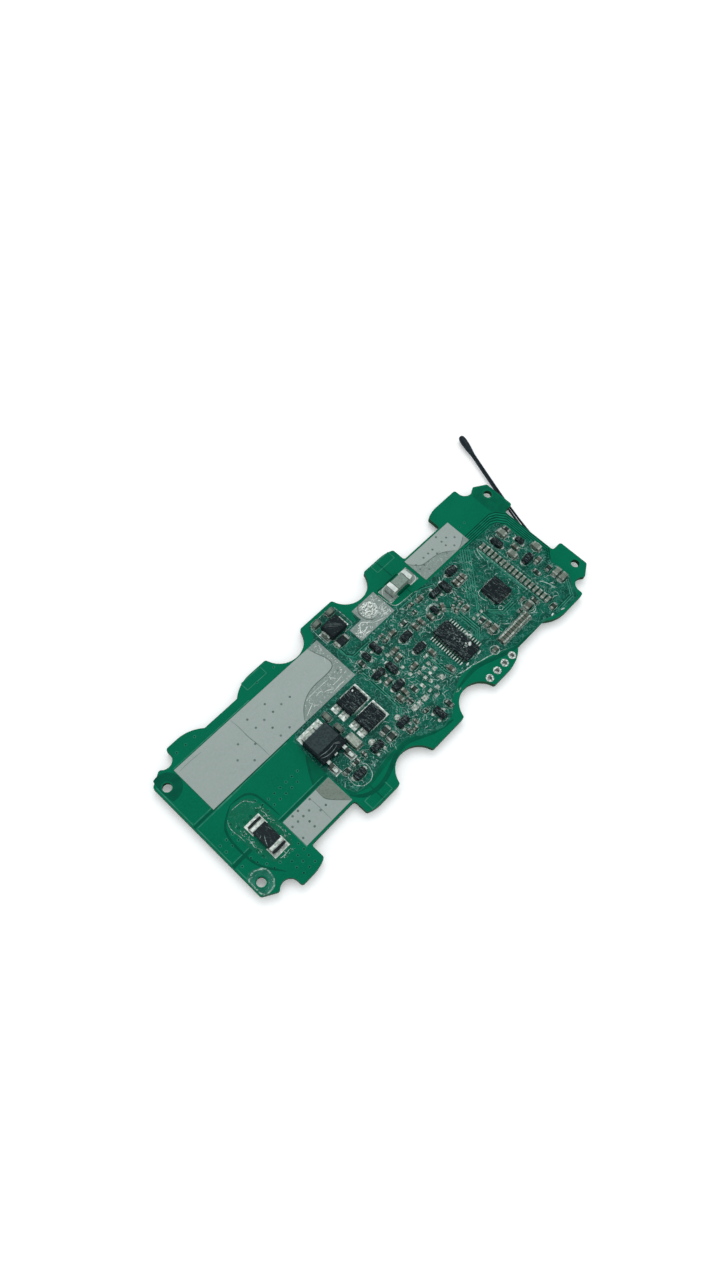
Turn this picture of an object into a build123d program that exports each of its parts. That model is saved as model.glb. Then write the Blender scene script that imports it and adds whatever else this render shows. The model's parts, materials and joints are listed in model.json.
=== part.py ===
# Battery management board for a pack of round cells, with its thermistor on two stiff leads.
# The board lies flat with its parts on top. X runs along it towards the thermistor end,
# Y across it, Z up. The origin is the middle of the board's four corner holes, in the
# plane on which its lowest solder joints rest. Lengths are in millimetres.

import math
import os

from build123d import *

os.makedirs("parts", exist_ok=True)

# Board
BOARD_LENGTH = 104.2
BOARD_WIDTH = 38.6
BOARD_THICK = 1.2
STANDOFF = 0.8
LAND_THICK = 0.1
CORNER_ROUND = 0.6

HALF_LENGTH = BOARD_LENGTH / 2
HALF_WIDTH = BOARD_WIDTH / 2
TOP = STANDOFF + BOARD_THICK
LAND_TOP = TOP + LAND_THICK

# Corner holes, each this far in from the board's end and side
HOLE_INSET_X = 2.0
HOLE_INSET_Y = 6.1
HOLE_DIAMETER = 2.0

# Cut-outs of the outline, which follow the round cells
CELL_PITCH = 20.2
FIRST_SEAM_X = -12.0
SCALLOP_RADIUS = 5.25
SCALLOP_FLOOR = 15.1
SHOULDER_RADIUS = 8.35
SHALLOW_LENGTH = 20.2
SHALLOW_FLOOR = 17.15
UPPER_SHALLOW_OFFSET = -20.0
LOWER_SHALLOW_OFFSET = 20.3
RECESS_LENGTH = 12.3
RECESS_FLOOR = 15.1
UPPER_RECESS_OFFSET = 20.4
LOWER_RECESS_OFFSET = -20.25
RECESS_SHOULDER = 3.6
EAR_LENGTH = 5.0
EAR_NOTCH_RADIUS = 2.0
EAR_NOTCH_Y = 18.05
EAR_SHOULDER_Y = 15.1
END_STEP_DEPTH = 2.85
END_STEP_WIDTH = 14.6

# Tinned areas for the cell straps: left, right, low and high edges
MAIN_PAD_INSET = 5.25
MAIN_PAD = (MAIN_PAD_INSET - HALF_LENGTH, -6.2, 3.45, 14.85)
LOWER_PAD = (-39.2, -26.35, -14.6, -8.0)
UPPER_PAD = (22.0, 37.05, 8.1, 14.65)
MIDDLE_PAD = (0.6, 11.2, 7.9, 14.35)
MIDDLE_PAD_STEP = (3.65, 2.85)
MOUND_CENTRE = (7.3, 12.0)
MOUND_RADIUS = 2.15
MOUND_HEIGHT = 0.35
MOUND_RINGS = ((0.6, 0.85),)

# Header holes
HEADER_PITCH = 2.54
HEADER_COUNT = 4
HEADER_FIRST_X = 13.8
HEADER_Y = -17.45
EYELET_BORE = 1.0
EYELET_WALL = 0.4
EYELET_RIM = 0.05

# Shunt resistor, lying across the board
SHUNT_X = -43.2
SHUNT_Y = -7.65
SHUNT_LENGTH = 7.0
SHUNT_WIDTH = 3.3
SHUNT_HEIGHT = 0.8
SHUNT_TERMINAL = 1.3
SHUNT_TERMINAL_ROUND = 0.5
SHUNT_COAT_DROP = 0.08
SHUNT_LAND = (3.9, 2.6)
SHUNT_LAND_REACH = 0.9

# Chip fuse, lying along the board
FUSE_X = 16.5
FUSE_Y = 11.55
FUSE_LENGTH = 6.2
FUSE_WIDTH = 2.6
FUSE_HEIGHT = 2.1
FUSE_CAP = 1.25
FUSE_CAP_WALL = 0.12
FUSE_CAP_ROUND = 0.4
FUSE_LAND = (2.5, 3.9)
FUSE_LAND_REACH = 1.45

# Suppressor diode
SUPPRESSOR_X = -1.75
SUPPRESSOR_Y = 14.05
SUPPRESSOR_BODY = (4.5, 3.7, 2.2)
SUPPRESSOR_SPAN = 5.4
SUPPRESSOR_STRAP_WIDTH = 2.1
SUPPRESSOR_STRAP = 0.2
SUPPRESSOR_FOOT = 1.2
SUPPRESSOR_LAND = (2.1, 2.7)
SUPPRESSOR_LAND_REACH = 0.55

# Switch transistor, its tab towards +Y and its leads towards -Y
SWITCH_X = -22.05
SWITCH_Y = -2.75
SWITCH_WIDTH = 6.6
SWITCH_LENGTH = 6.1
SWITCH_HEIGHT = 2.3
SWITCH_SLOPE = (2.1, 0.85)
SWITCH_SIDE_CHAMFER = 0.3
SWITCH_TAB_WIDTH = 5.4
SWITCH_TAB_REACH = 1.1
SWITCH_TAB_CORNER = 0.5
SWITCH_TAB_GRIP = 4.5
SWITCH_METAL = 0.5
SWITCH_LEAD_PITCH = 4.57
SWITCH_LEAD_WIDTH = 0.8
SWITCH_LEAD_REACH = 2.8
SWITCH_LEAD_FOOT = 1.4
SWITCH_LEAD_RISE = 1.0
SWITCH_LEAD_SHOULDER = 0.5
SWITCH_STUB = 0.35
SWITCH_TAB_LAND = (6.3, 6.6)
SWITCH_TAB_LAND_REACH = 0.8
SWITCH_LEAD_LAND = (1.6, 2.4)
SWITCH_LEAD_LAND_REACH = 0.5

# Two power transistors, drain tab towards +X and leads towards -X
MOSFET_X = -11.15
CHARGE_MOSFET_Y = -0.15
DISCHARGE_MOSFET_Y = -5.35
MOSFET_BODY = (5.3, 4.1, 1.0)
MOSFET_METAL = 0.25
MOSFET_LEAD_PITCH = 1.1
MOSFET_LEAD_WIDTH = 0.5
MOSFET_LEAD_REACH = 0.9
MOSFET_DRAIN_WIDTH = 3.6
MOSFET_DRAIN_REACH = 0.45
MOSFET_DRAIN_GRIP = 3.2
DRAIN_LAND = (4.7, 4.6)
DRAIN_LAND_REACH = 0.8
SOURCE_LAND = (1.75, 1.7)
SOURCE_LAND_REACH = 1.75

# Monitor chip, with gull-wing leads on its long sides
MONITOR_X = 15.1
MONITOR_Y = -6.65
MONITOR_BODY = (4.4, 9.7, 1.05)
MONITOR_LIFT = 0.1
MONITOR_PITCH = 0.65
MONITOR_SIDE_LEADS = 14
MONITOR_LEAD_REACH = 1.0
MONITOR_LEAD_FOOT = 0.5
MONITOR_LEAD_WIDTH = 0.25
MONITOR_METAL = 0.15

# Controller chip, flat, with contacts on four sides
CONTROLLER_X = 31.15
CONTROLLER_Y = -4.85
CONTROLLER_SIDE = 5.0
CONTROLLER_HEIGHT = 0.85
CONTROLLER_PITCH = 0.5
CONTROLLER_SIDE_CONTACTS = 8
CONTROLLER_CONTACT = (0.25, 0.28, 0.2)

# Small moulded parts: length, width and height of the body, then its leads
TRANSISTOR_BODY = (2.9, 1.4, 1.0)
TRANSISTOR_PAIR = 1.9
DIODE_BODY = (2.7, 1.6, 1.05)
SMALL_DIODE_BODY = (1.8, 1.3, 0.9)
SMALL_LEAD_REACH = 0.55
SMALL_LEAD_FOOT = 0.3
TRANSISTOR_LEAD_WIDTH = 0.42
DIODE_LEAD_WIDTH = 0.65
SMALL_METAL = 0.13
MOULD_TAPER = 7
PARTING_HEIGHT = 0.45

# Chip parts: length, width, height and the length of each tinned end
SMALL_RESISTOR = (1.0, 0.55, 0.35, 0.25)
MIDDLE_RESISTOR = (1.6, 0.8, 0.45, 0.32)
LARGE_RESISTOR = (2.1, 1.25, 0.55, 0.4)
LONG_RESISTOR = (3.2, 1.6, 0.6, 0.5)
SMALL_CAPACITOR = (1.05, 0.55, 0.5, 0.28)
MIDDLE_CAPACITOR = (1.65, 0.85, 0.8, 0.38)
SNUBBER_CAPACITOR = (1.95, 1.1, 0.95, 0.45)
FILTER_CAPACITOR = (2.15, 1.3, 1.0, 0.5)
TALL_CAPACITOR = (3.1, 1.8, 1.3, 0.6)
CHIP_TIN = 0.04

# Resistor column and capacitor row
COLUMN_X = 38.0
COLUMN_FIRST_Y = 4.8
COLUMN_PITCH = 1.205
COLUMN_COUNT = 17
ROW_FIRST_X = 22.5
ROW_Y = -13.7
ROW_PITCH = 0.96
ROW_COUNT = 10

# Where the small parts sit: X, Y and turn about Z in degrees.
# A transistor's single lead points to +Y at turn 0, and diodes and chips lie along X.
TRANSISTOR_PLACES = (
    (-14.7, -10.7, 0),
    (-7.0, -10.9, 0),
    (-2.6, 0.0, 0),
    (1.4, 4.6, 90),
    (0.0, -15.1, -90),
    (20.8, 4.4, 0),
)
DIODE_PLACES = (
    (-21.4, -12.1, 0),
    (0.4, -1.0, 90),
    (-1.6, -4.7, 0),
    (8.1, 1.8, 0),
    (8.2, -2.1, 0),
    (23.6, 3.8, 90),
    (27.6, 5.5, 0),
    (40.9, 3.0, 90),
    (42.8, -4.7, 0),
)
SMALL_DIODE_PLACES = (
    (-1.5, 4.6, 90),
    (17.5, 1.7, 90),
    (45.3, -0.3, 90),
)
SNUBBER_PLACES = (
    (-17.4, 1.1, 90),
    (-17.4, -2.3, 90),
    (-3.6, 17.5, 0),
    (0.6, 17.5, 0),
)
FILTER_PLACES = (
    (HALF_LENGTH - 8.3, 3.8, 90),
    (HALF_LENGTH - 10.9, -1.5, 90),
    (HALF_LENGTH - 5.3, -4.1, 90),
    (HALF_LENGTH - 7.2, -11.6, 0),
    (HALF_LENGTH - 7.2, -13.4, 0),
)
BLEED_PLACES = ((-2.5, 10.9, 0),)
BULK_PLACES = ((-17.3, -6.5, 90),)
SMALL_RESISTOR_PLACES = (
    (-2.4, -8.4, 0),
    (-2.4, -9.1, 0),
    (-1.6, -12.6, 0),
    (13.9, 4.5, 0),
    (23.5, 0.2, 0),
    (31.2, -11.9, 0),
)
MIDDLE_RESISTOR_PLACES = (
    (-22.8, -9.9, 0),
    (-20.2, -9.9, 0),
    (-3.4, 4.2, 90),
    (0.3, -7.6, 90),
    (3.0, -15.0, 90),
    (10.1, 4.4, 0),
    (23.2, -7.4, 0),
    (35.6, -12.6, 90),
    (37.5, -16.5, 0),
    (41.7, -8.4, 90),
    (44.5, -9.7, 0),
    (45.6, 3.8, 90),
)
LARGE_RESISTOR_PLACES = (
    (-11.0, -9.5, 0),
    (-11.0, -11.3, 0),
)
SMALL_CAPACITOR_PLACES = (
    (-17.7, -9.8, 90),
    (-7.4, -13.2, 90),
    (-6.2, -13.6, 0),
    (-4.9, -12.7, 90),
    (4.4, 5.8, 0),
    (4.4, 4.4, 0),
    (14.7, 6.3, 0),
    (21.0, -0.7, 30),
    (21.0, -1.8, 30),
    (23.0, -1.3, 0),
    (33.9, -10.4, 0),
)
MIDDLE_CAPACITOR_PLACES = (
    (-3.4, -6.9, 90),
    (-1.7, -6.6, 90),
    (-2.4, -2.6, 0),
    (3.2, -0.4, 0),
    (3.9, 1.3, 0),
    (4.2, -4.1, 0),
    (6.6, 4.5, 0),
    (9.3, -4.7, 90),
    (9.4, -10.1, 90),
    (11.4, 1.9, 90),
    (13.2, 1.9, 90),
    (15.6, 1.2, 90),
    (19.3, 0.9, 60),
    (17.2, 5.9, 0),
    (22.8, -2.9, 0),
    (23.3, -8.9, 0),
    (26.1, 2.7, 90),
    (27.3, 2.7, 90),
    (28.5, 2.7, 90),
    (19.7, -14.0, 0),
    (43.2, -0.7, 90),
    (44.3, -6.6, 0),
)
LARGE_CAPACITOR_PLACES = (
    (23.3, -10.6, 0),
    (33.3, -12.4, 0),
)

# Bare tinned lands for test pins: X, Y, length and width
TEST_LANDS = (
    (3.9, -5.8, 0.8, 0.8),
    (5.45, -5.8, 0.8, 0.8),
    (6.9, -5.8, 0.8, 0.8),
    (4.0, -7.5, 0.8, 0.8),
    (5.5, -7.5, 0.8, 0.8),
    (7.0, -7.5, 1.1, 0.9),
    (2.3, -4.7, 0.8, 0.8),
    (2.3, -2.5, 0.8, 0.8),
    (7.8, -4.3, 1.2, 0.7),
    (2.1, 1.7, 0.75, 0.75),
    (2.15, -8.35, 0.75, 1.3),
    (4.2, -8.9, 0.8, 0.8),
    (4.2, -10.8, 0.85, 0.85),
    (6.6, -9.95, 1.1, 1.2),
    (-2.75, -10.5, 1.3, 1.2),
    (-1.2, -10.5, 0.8, 1.1),
    (0.4, -10.6, 1.3, 1.2),
    (2.5, -10.2, 1.0, 0.6),
    (2.65, -11.95, 0.9, 0.6),
    (22.3, -5.8, 0.7, 0.7),
    (23.6, -5.8, 0.7, 0.7),
    (24.9, -5.8, 0.7, 0.7),
)

# Thermistor, with the middle of each lead as a route from its joint to the bead
LEAD_DIAMETER = 0.5
JOINT_LENGTH = 2.2
JOINT_WIDTH = 1.15
JOINT_TAPER = 20
BEAD_LENGTH = 6.2
BEAD_DIAMETER = 1.85
BEAD_NECK = 1.25
BEAD_RINGS = ((0.5, 0.97), (0.8, 1.0), (0.95, 0.7))
LEAD_A_ROUTE = (
    (48.57, -6.58, 0.5),
    (50.40, 0.47, 0.5),
    (52.56, 7.50, 0.5),
    (54.04, 12.81, 0.6),
    (57.59, 23.11, 0.95),
)
LEAD_B_ROUTE = (
    (47.43, -6.22, 0.5),
    (49.60, 0.73, 0.5),
    (51.94, 7.70, 0.5),
    (53.469, 13.007, 0.6),
    (57.019, 23.307, 0.95),
)

SEATED = (Align.CENTER, Align.CENTER, Align.MIN)
PLUS_X = (Align.MIN, Align.CENTER, Align.MIN)
MINUS_X = (Align.MAX, Align.CENTER, Align.MIN)
PLUS_Y = (Align.CENTER, Align.MIN, Align.MIN)
MINUS_Y = (Align.CENTER, Align.MAX, Align.MIN)


def write(piece, name):
    """Name a finished piece and write it to its own file."""
    piece.part.label = name
    export_step(piece.part, f"parts/{name}.step")


def on_board(places, height=TOP):
    """The listed places as locations at one height, each with its turn about Z."""
    return [Location((x, y, height), (0, 0, turn)) for x, y, turn in places]


# Board outline
SECOND_SEAM_X = FIRST_SEAM_X + CELL_PITCH
SCALLOP_Y = SCALLOP_FLOOR + SCALLOP_RADIUS
SCALLOP_HALF = math.sqrt(SCALLOP_RADIUS**2 - (SCALLOP_Y - HALF_WIDTH) ** 2)
EAR_X = HALF_LENGTH - EAR_LENGTH
UPPER_RECESS_X = SECOND_SEAM_X + UPPER_RECESS_OFFSET
LOWER_RECESS_X = FIRST_SEAM_X + LOWER_RECESS_OFFSET
UPPER_SHALLOW_X = FIRST_SEAM_X + UPPER_SHALLOW_OFFSET
LOWER_SHALLOW_X = SECOND_SEAM_X + LOWER_SHALLOW_OFFSET


def shoulder_y(run):
    """Height of a tab's rounded shoulder, this far along from where it leaves the top."""
    return HALF_WIDTH - SHOULDER_RADIUS + math.sqrt(SHOULDER_RADIUS**2 - run**2)


def over_shoulders(middle, length, floor):
    """The space above a floor, between the rounded shoulders of two tabs."""
    with BuildSketch() as space:
        with Locations((middle, floor)):
            Rectangle(length, HALF_WIDTH, align=(Align.CENTER, Align.MIN))
        with Locations((middle, HALF_WIDTH - SHOULDER_RADIUS)):
            with GridLocations(length, 0, 2, 1):
                Circle(SHOULDER_RADIUS, mode=Mode.SUBTRACT)
    return space.sketch


def strap_recess(middle):
    """The gap beside a strap pad, with upright walls and a tab's shoulder on each side."""
    with BuildSketch() as recess:
        add(over_shoulders(middle, RECESS_LENGTH + 2 * RECESS_SHOULDER, shoulder_y(RECESS_SHOULDER)))
        with Locations((middle, RECESS_FLOOR)):
            Rectangle(RECESS_LENGTH, HALF_WIDTH, align=(Align.CENTER, Align.MIN))
    return recess.sketch


with BuildSketch() as beyond_ear:
    with BuildLine():
        Polyline(
            (HALF_LENGTH, EAR_SHOULDER_Y),
            (EAR_X, EAR_NOTCH_Y),
            (EAR_X - EAR_NOTCH_RADIUS, EAR_NOTCH_Y),
            (EAR_X - EAR_NOTCH_RADIUS, BOARD_WIDTH),
            (BOARD_LENGTH, BOARD_WIDTH),
            (BOARD_LENGTH, EAR_SHOULDER_Y),
            close=True,
        )
    make_face()
    with Locations((EAR_X, EAR_NOTCH_Y)):
        Circle(EAR_NOTCH_RADIUS)
    mirror(about=Plane.XZ)
    mirror(about=Plane.YZ)

with BuildSketch() as upper_gaps:
    add(over_shoulders(UPPER_SHALLOW_X, SHALLOW_LENGTH, SHALLOW_FLOOR))
    add(strap_recess(UPPER_RECESS_X))

with BuildSketch() as lower_gaps:
    add(over_shoulders(LOWER_SHALLOW_X, SHALLOW_LENGTH, SHALLOW_FLOOR))
    add(strap_recess(LOWER_RECESS_X))

with BuildSketch() as outline:
    Rectangle(BOARD_LENGTH, BOARD_WIDTH)
    with Locations((FIRST_SEAM_X, 0), (SECOND_SEAM_X, 0)):
        with GridLocations(0, 2 * SCALLOP_Y, 1, 2):
            Circle(SCALLOP_RADIUS, mode=Mode.SUBTRACT)
    add(beyond_ear.sketch, mode=Mode.SUBTRACT)
    add(upper_gaps.sketch, mode=Mode.SUBTRACT)
    add(lower_gaps.sketch.mirror(Plane.XZ), mode=Mode.SUBTRACT)
    with Locations((HALF_LENGTH, 0)):
        Rectangle(2 * END_STEP_DEPTH, END_STEP_WIDTH, mode=Mode.SUBTRACT)

    # The cutter's rounding, at each corner of scallops, ears, recesses and the end step
    ear_slope = Vector(EAR_LENGTH, EAR_SHOULDER_Y - EAR_NOTCH_Y).normalized() * EAR_NOTCH_RADIUS
    seam_corners = [
        (seam + end * SCALLOP_HALF, side * HALF_WIDTH)
        for seam in (FIRST_SEAM_X, SECOND_SEAM_X)
        for end in (-1, 1)
        for side in (-1, 1)
    ]
    ear_corners = [
        (end * x, side * y)
        for x, y in (
            (HALF_LENGTH, EAR_SHOULDER_Y),
            (EAR_X - EAR_NOTCH_RADIUS, HALF_WIDTH),
            (EAR_X + ear_slope.X, EAR_NOTCH_Y + ear_slope.Y),
        )
        for end in (-1, 1)
        for side in (-1, 1)
    ]
    recess_corners = [
        (middle + end * RECESS_LENGTH / 2, side * y)
        for middle, side in ((UPPER_RECESS_X, 1), (LOWER_RECESS_X, -1))
        for end in (-1, 1)
        for y in (RECESS_FLOOR, shoulder_y(RECESS_SHOULDER))
    ]
    step_corners = [
        (HALF_LENGTH - depth, side * END_STEP_WIDTH / 2)
        for depth in (0, END_STEP_DEPTH)
        for side in (-1, 1)
    ]
    corners = seam_corners + ear_corners + recess_corners + step_corners
    fillet([outline.vertices().sort_by_distance(corner)[0] for corner in corners], CORNER_ROUND)

header_holes = [(HEADER_FIRST_X + i * HEADER_PITCH, HEADER_Y) for i in range(HEADER_COUNT)]

with BuildPart() as circuit_board:
    with BuildSketch(Plane.XY.offset(STANDOFF)):
        add(outline.sketch)
        with GridLocations(BOARD_LENGTH - 2 * HOLE_INSET_X, BOARD_WIDTH - 2 * HOLE_INSET_Y, 2, 2):
            Circle(HOLE_DIAMETER / 2, mode=Mode.SUBTRACT)
        with Locations(*header_holes):
            Circle(EYELET_BORE / 2 + EYELET_WALL, mode=Mode.SUBTRACT)
    extrude(amount=BOARD_THICK)
write(circuit_board, "circuit_board")


# Tinned areas
def tinned_area(left, right, low, high):
    """A flat tinned rectangle on top of the board."""
    with BuildPart() as area:
        with Locations((left, low, TOP)):
            Box(right - left, high - low, LAND_THICK, align=(Align.MIN, Align.MIN, Align.MIN))
    return area


write(tinned_area(*MAIN_PAD), "main_bus_pad")
write(tinned_area(*LOWER_PAD), "lower_bus_pad")
write(tinned_area(*UPPER_PAD), "upper_bus_pad")

with BuildPart() as middle_bus_pad:
    left, right, low, high = MIDDLE_PAD
    step_x, step_y = MIDDLE_PAD_STEP
    with BuildSketch(Plane.XY.offset(TOP)):
        with Locations((left, low)):
            Rectangle(right - left, high - low, align=(Align.MIN, Align.MIN))
        with Locations((left, high)):
            Rectangle(step_x, step_y, align=(Align.MIN, Align.MAX), mode=Mode.SUBTRACT)
    extrude(amount=LAND_THICK)
write(middle_bus_pad, "middle_bus_pad")

with BuildPart() as solder_mound:
    mound_x, mound_y = MOUND_CENTRE
    with BuildSketch(Plane((mound_x, mound_y, LAND_TOP), x_dir=(1, 0, 0), z_dir=(0, -1, 0))):
        with BuildLine():
            rings = [(MOUND_RADIUS * out, MOUND_HEIGHT * up) for out, up in MOUND_RINGS]
            Polyline((0, 0), (0, MOUND_HEIGHT), *rings, (MOUND_RADIUS, 0), close=True)
        make_face()
    revolve(axis=Axis((mound_x, mound_y, LAND_TOP), (0, 0, 1)))
write(solder_mound, "solder_mound")

with BuildPart() as test_lands:
    for x, y, length, width in TEST_LANDS:
        with Locations((x, y, TOP)):
            Box(length, width, LAND_THICK, align=SEATED)
write(test_lands, "test_lands")

# A tinned sleeve through the board in each header hole, a little proud of both faces
with BuildPart() as header_eyelets:
    with BuildSketch(Plane.XY.offset(STANDOFF - EYELET_RIM)):
        with Locations(*header_holes):
            Circle(EYELET_BORE / 2 + EYELET_WALL)
            Circle(EYELET_BORE / 2, mode=Mode.SUBTRACT)
    extrude(amount=BOARD_THICK + 2 * EYELET_RIM)
write(header_eyelets, "header_eyelets")

# Lands under the large parts
shunt_end = SHUNT_LENGTH / 2 + SHUNT_LAND_REACH
fuse_end = FUSE_LENGTH / 2 + FUSE_LAND_REACH
suppressor_end = SUPPRESSOR_SPAN / 2 + SUPPRESSOR_LAND_REACH
switch_tab_end = SWITCH_LENGTH / 2 + SWITCH_TAB_REACH + SWITCH_TAB_LAND_REACH
switch_lead_end = SWITCH_LENGTH / 2 + SWITCH_LEAD_REACH + SWITCH_LEAD_LAND_REACH

with BuildPart() as power_lands:
    with Locations((SHUNT_X, SHUNT_Y, TOP)):
        with GridLocations(0, 2 * shunt_end - SHUNT_LAND[1], 1, 2):
            Box(*SHUNT_LAND, LAND_THICK, align=SEATED)
    with Locations((FUSE_X, FUSE_Y, TOP)):
        with GridLocations(2 * fuse_end - FUSE_LAND[0], 0, 2, 1):
            Box(*FUSE_LAND, LAND_THICK, align=SEATED)
    with Locations((SUPPRESSOR_X, SUPPRESSOR_Y, TOP)):
        with GridLocations(2 * suppressor_end - SUPPRESSOR_LAND[0], 0, 2, 1):
            Box(*SUPPRESSOR_LAND, LAND_THICK, align=SEATED)
    with Locations((SWITCH_X, SWITCH_Y + switch_tab_end, TOP)):
        Box(*SWITCH_TAB_LAND, LAND_THICK, align=MINUS_Y)
    with Locations((SWITCH_X, SWITCH_Y - switch_lead_end, TOP)):
        with GridLocations(SWITCH_LEAD_PITCH, 0, 2, 1):
            Box(*SWITCH_LEAD_LAND, LAND_THICK, align=PLUS_Y)
    for row in (CHARGE_MOSFET_Y, DISCHARGE_MOSFET_Y):
        with Locations((MOSFET_X + MOSFET_BODY[0] / 2 + DRAIN_LAND_REACH, row, TOP)):
            Box(*DRAIN_LAND, LAND_THICK, align=MINUS_X)
        with Locations((MOSFET_X - MOSFET_BODY[0] / 2 - SOURCE_LAND_REACH, row, TOP)):
            with GridLocations(0, 2 * MOSFET_LEAD_PITCH, 1, 2):
                Box(*SOURCE_LAND, LAND_THICK, align=PLUS_X)
write(power_lands, "power_lands")


# Shunt resistor: a coated metal strip between two rounded terminals
with BuildPart() as shunt_resistor_body:
    with Locations((SHUNT_X, SHUNT_Y, LAND_TOP)):
        strip = SHUNT_LENGTH - 2 * SHUNT_TERMINAL
        Box(SHUNT_WIDTH, strip, SHUNT_HEIGHT - SHUNT_COAT_DROP, align=SEATED)
write(shunt_resistor_body, "shunt_resistor_body")

with BuildPart() as shunt_resistor_terminals:
    with Locations((SHUNT_X, SHUNT_Y, LAND_TOP)):
        with GridLocations(0, SHUNT_LENGTH - SHUNT_TERMINAL, 1, 2):
            Box(SHUNT_WIDTH, SHUNT_TERMINAL, SHUNT_HEIGHT, align=SEATED)
    crest = edges().group_by(Axis.Z)[-1].filter_by(Axis.X).sort_by(Axis.Y)
    fillet([crest[0], crest[-1]], SHUNT_TERMINAL_ROUND)
write(shunt_resistor_terminals, "shunt_resistor_terminals")

# Chip fuse: a ceramic block between two metal caps
with BuildPart() as fuse_body:
    with Locations((FUSE_X, FUSE_Y, LAND_TOP + FUSE_CAP_WALL)):
        Box(
            FUSE_LENGTH - 2 * FUSE_CAP,
            FUSE_WIDTH - 2 * FUSE_CAP_WALL,
            FUSE_HEIGHT - 2 * FUSE_CAP_WALL,
            align=SEATED,
        )
write(fuse_body, "fuse_body")

with BuildPart() as fuse_caps:
    with Locations((FUSE_X, FUSE_Y, LAND_TOP)):
        with GridLocations(FUSE_LENGTH - FUSE_CAP, 0, 2, 1):
            Box(FUSE_CAP, FUSE_WIDTH, FUSE_HEIGHT, align=SEATED)
    crest = edges().group_by(Axis.Z)[-1].filter_by(Axis.Y).sort_by(Axis.X)
    fillet([crest[0], crest[-1]], FUSE_CAP_ROUND)
write(fuse_caps, "fuse_caps")


# Moulded parts
def moulded_body(length, width, height, lift):
    """A moulded block over the origin that narrows up and down from its parting line."""
    parting = lift + (height - lift) * PARTING_HEIGHT
    with BuildPart() as body:
        for rise in (height - parting, lift - parting):
            with BuildSketch(Plane.XY.offset(parting)):
                Rectangle(length, width)
            extrude(amount=rise, taper=MOULD_TAPER)
    return body.part


def bent_lead(reach, foot, rise, metal, width, shoulder=0.0):
    """A lead that leaves a body at X = 0, level as far as its shoulder, and slopes down to its foot."""
    low = rise - metal / 2
    under = [(0, low), (shoulder, low)] if shoulder else [(0, low)]
    over = [(shoulder + metal / 2, low + metal), (0, low + metal)] if shoulder else [(0, low + metal)]
    with BuildPart() as lead:
        with BuildSketch(Plane.XZ):
            with BuildLine():
                Polyline(
                    *under,
                    (reach - foot, 0),
                    (reach, 0),
                    (reach, metal),
                    (reach - foot + metal / 2, metal),
                    *over,
                    close=True,
                )
            make_face()
        extrude(amount=width / 2, both=True)
    return lead.part


def parting_rise(height, lift):
    """Height of a moulded body's parting line, where its leads come out."""
    return lift + (height - lift) * PARTING_HEIGHT


# Suppressor diode, its straps bent down its ends and in under it
with BuildPart() as suppressor_diode_body:
    with Locations((SUPPRESSOR_X, SUPPRESSOR_Y, LAND_TOP)):
        add(moulded_body(*SUPPRESSOR_BODY, SUPPRESSOR_STRAP))
write(suppressor_diode_body, "suppressor_diode_body")

with BuildPart() as suppressor_diode_terminals:
    with Locations((SUPPRESSOR_X, SUPPRESSOR_Y, LAND_TOP)):
        strap_top = parting_rise(SUPPRESSOR_BODY[2], SUPPRESSOR_STRAP) + SUPPRESSOR_STRAP / 2
        foot_middle = SUPPRESSOR_SPAN - SUPPRESSOR_FOOT
        arm = (SUPPRESSOR_SPAN - SUPPRESSOR_BODY[0]) / 2
        with GridLocations(foot_middle, 0, 2, 1):
            Box(SUPPRESSOR_FOOT, SUPPRESSOR_STRAP_WIDTH, SUPPRESSOR_STRAP, align=SEATED)
        with GridLocations(SUPPRESSOR_SPAN - SUPPRESSOR_STRAP, 0, 2, 1):
            Box(SUPPRESSOR_STRAP, SUPPRESSOR_STRAP_WIDTH, strap_top, align=SEATED)
    with Locations((SUPPRESSOR_X, SUPPRESSOR_Y, LAND_TOP + strap_top - SUPPRESSOR_STRAP)):
        with GridLocations(SUPPRESSOR_SPAN - arm, 0, 2, 1):
            Box(arm, SUPPRESSOR_STRAP_WIDTH, SUPPRESSOR_STRAP, align=SEATED)
write(suppressor_diode_terminals, "suppressor_diode_terminals")

# Switch transistor: a moulded block on its tab, two leads and a cut middle stub
with BuildPart() as switch_transistor_tab:
    with Locations((SWITCH_X, SWITCH_Y + SWITCH_LENGTH / 2 + SWITCH_TAB_REACH, LAND_TOP)):
        Box(
            SWITCH_TAB_WIDTH, SWITCH_TAB_REACH + SWITCH_TAB_GRIP, SWITCH_METAL, align=MINUS_Y
        )
    tab_corners = edges().filter_by(Axis.Z).group_by(Axis.Y)[-1]
    chamfer(tab_corners, SWITCH_TAB_CORNER)
write(switch_transistor_tab, "switch_transistor_tab")

with BuildPart() as switch_transistor_body:
    front = SWITCH_Y - SWITCH_LENGTH / 2
    slope_run, slope_fall = SWITCH_SLOPE
    crown = LAND_TOP + SWITCH_HEIGHT
    with BuildSketch(Plane.YZ.offset(SWITCH_X)):
        with BuildLine():
            Polyline(
                (front, LAND_TOP),
                (front + SWITCH_LENGTH, LAND_TOP),
                (front + SWITCH_LENGTH, crown - slope_fall),
                (front + SWITCH_LENGTH - 0.1, crown),
                (front + slope_run, crown),
                (front, crown - slope_fall),
                close=True,
            )
        make_face()
    extrude(amount=SWITCH_WIDTH / 2, both=True)
    crown_face = faces().sort_by(Axis.Z)[-1]
    chamfer(crown_face.edges().filter_by(Axis.Y), SWITCH_SIDE_CHAMFER)
    add(switch_transistor_tab.part, mode=Mode.SUBTRACT)
write(switch_transistor_body, "switch_transistor_body")

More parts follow.
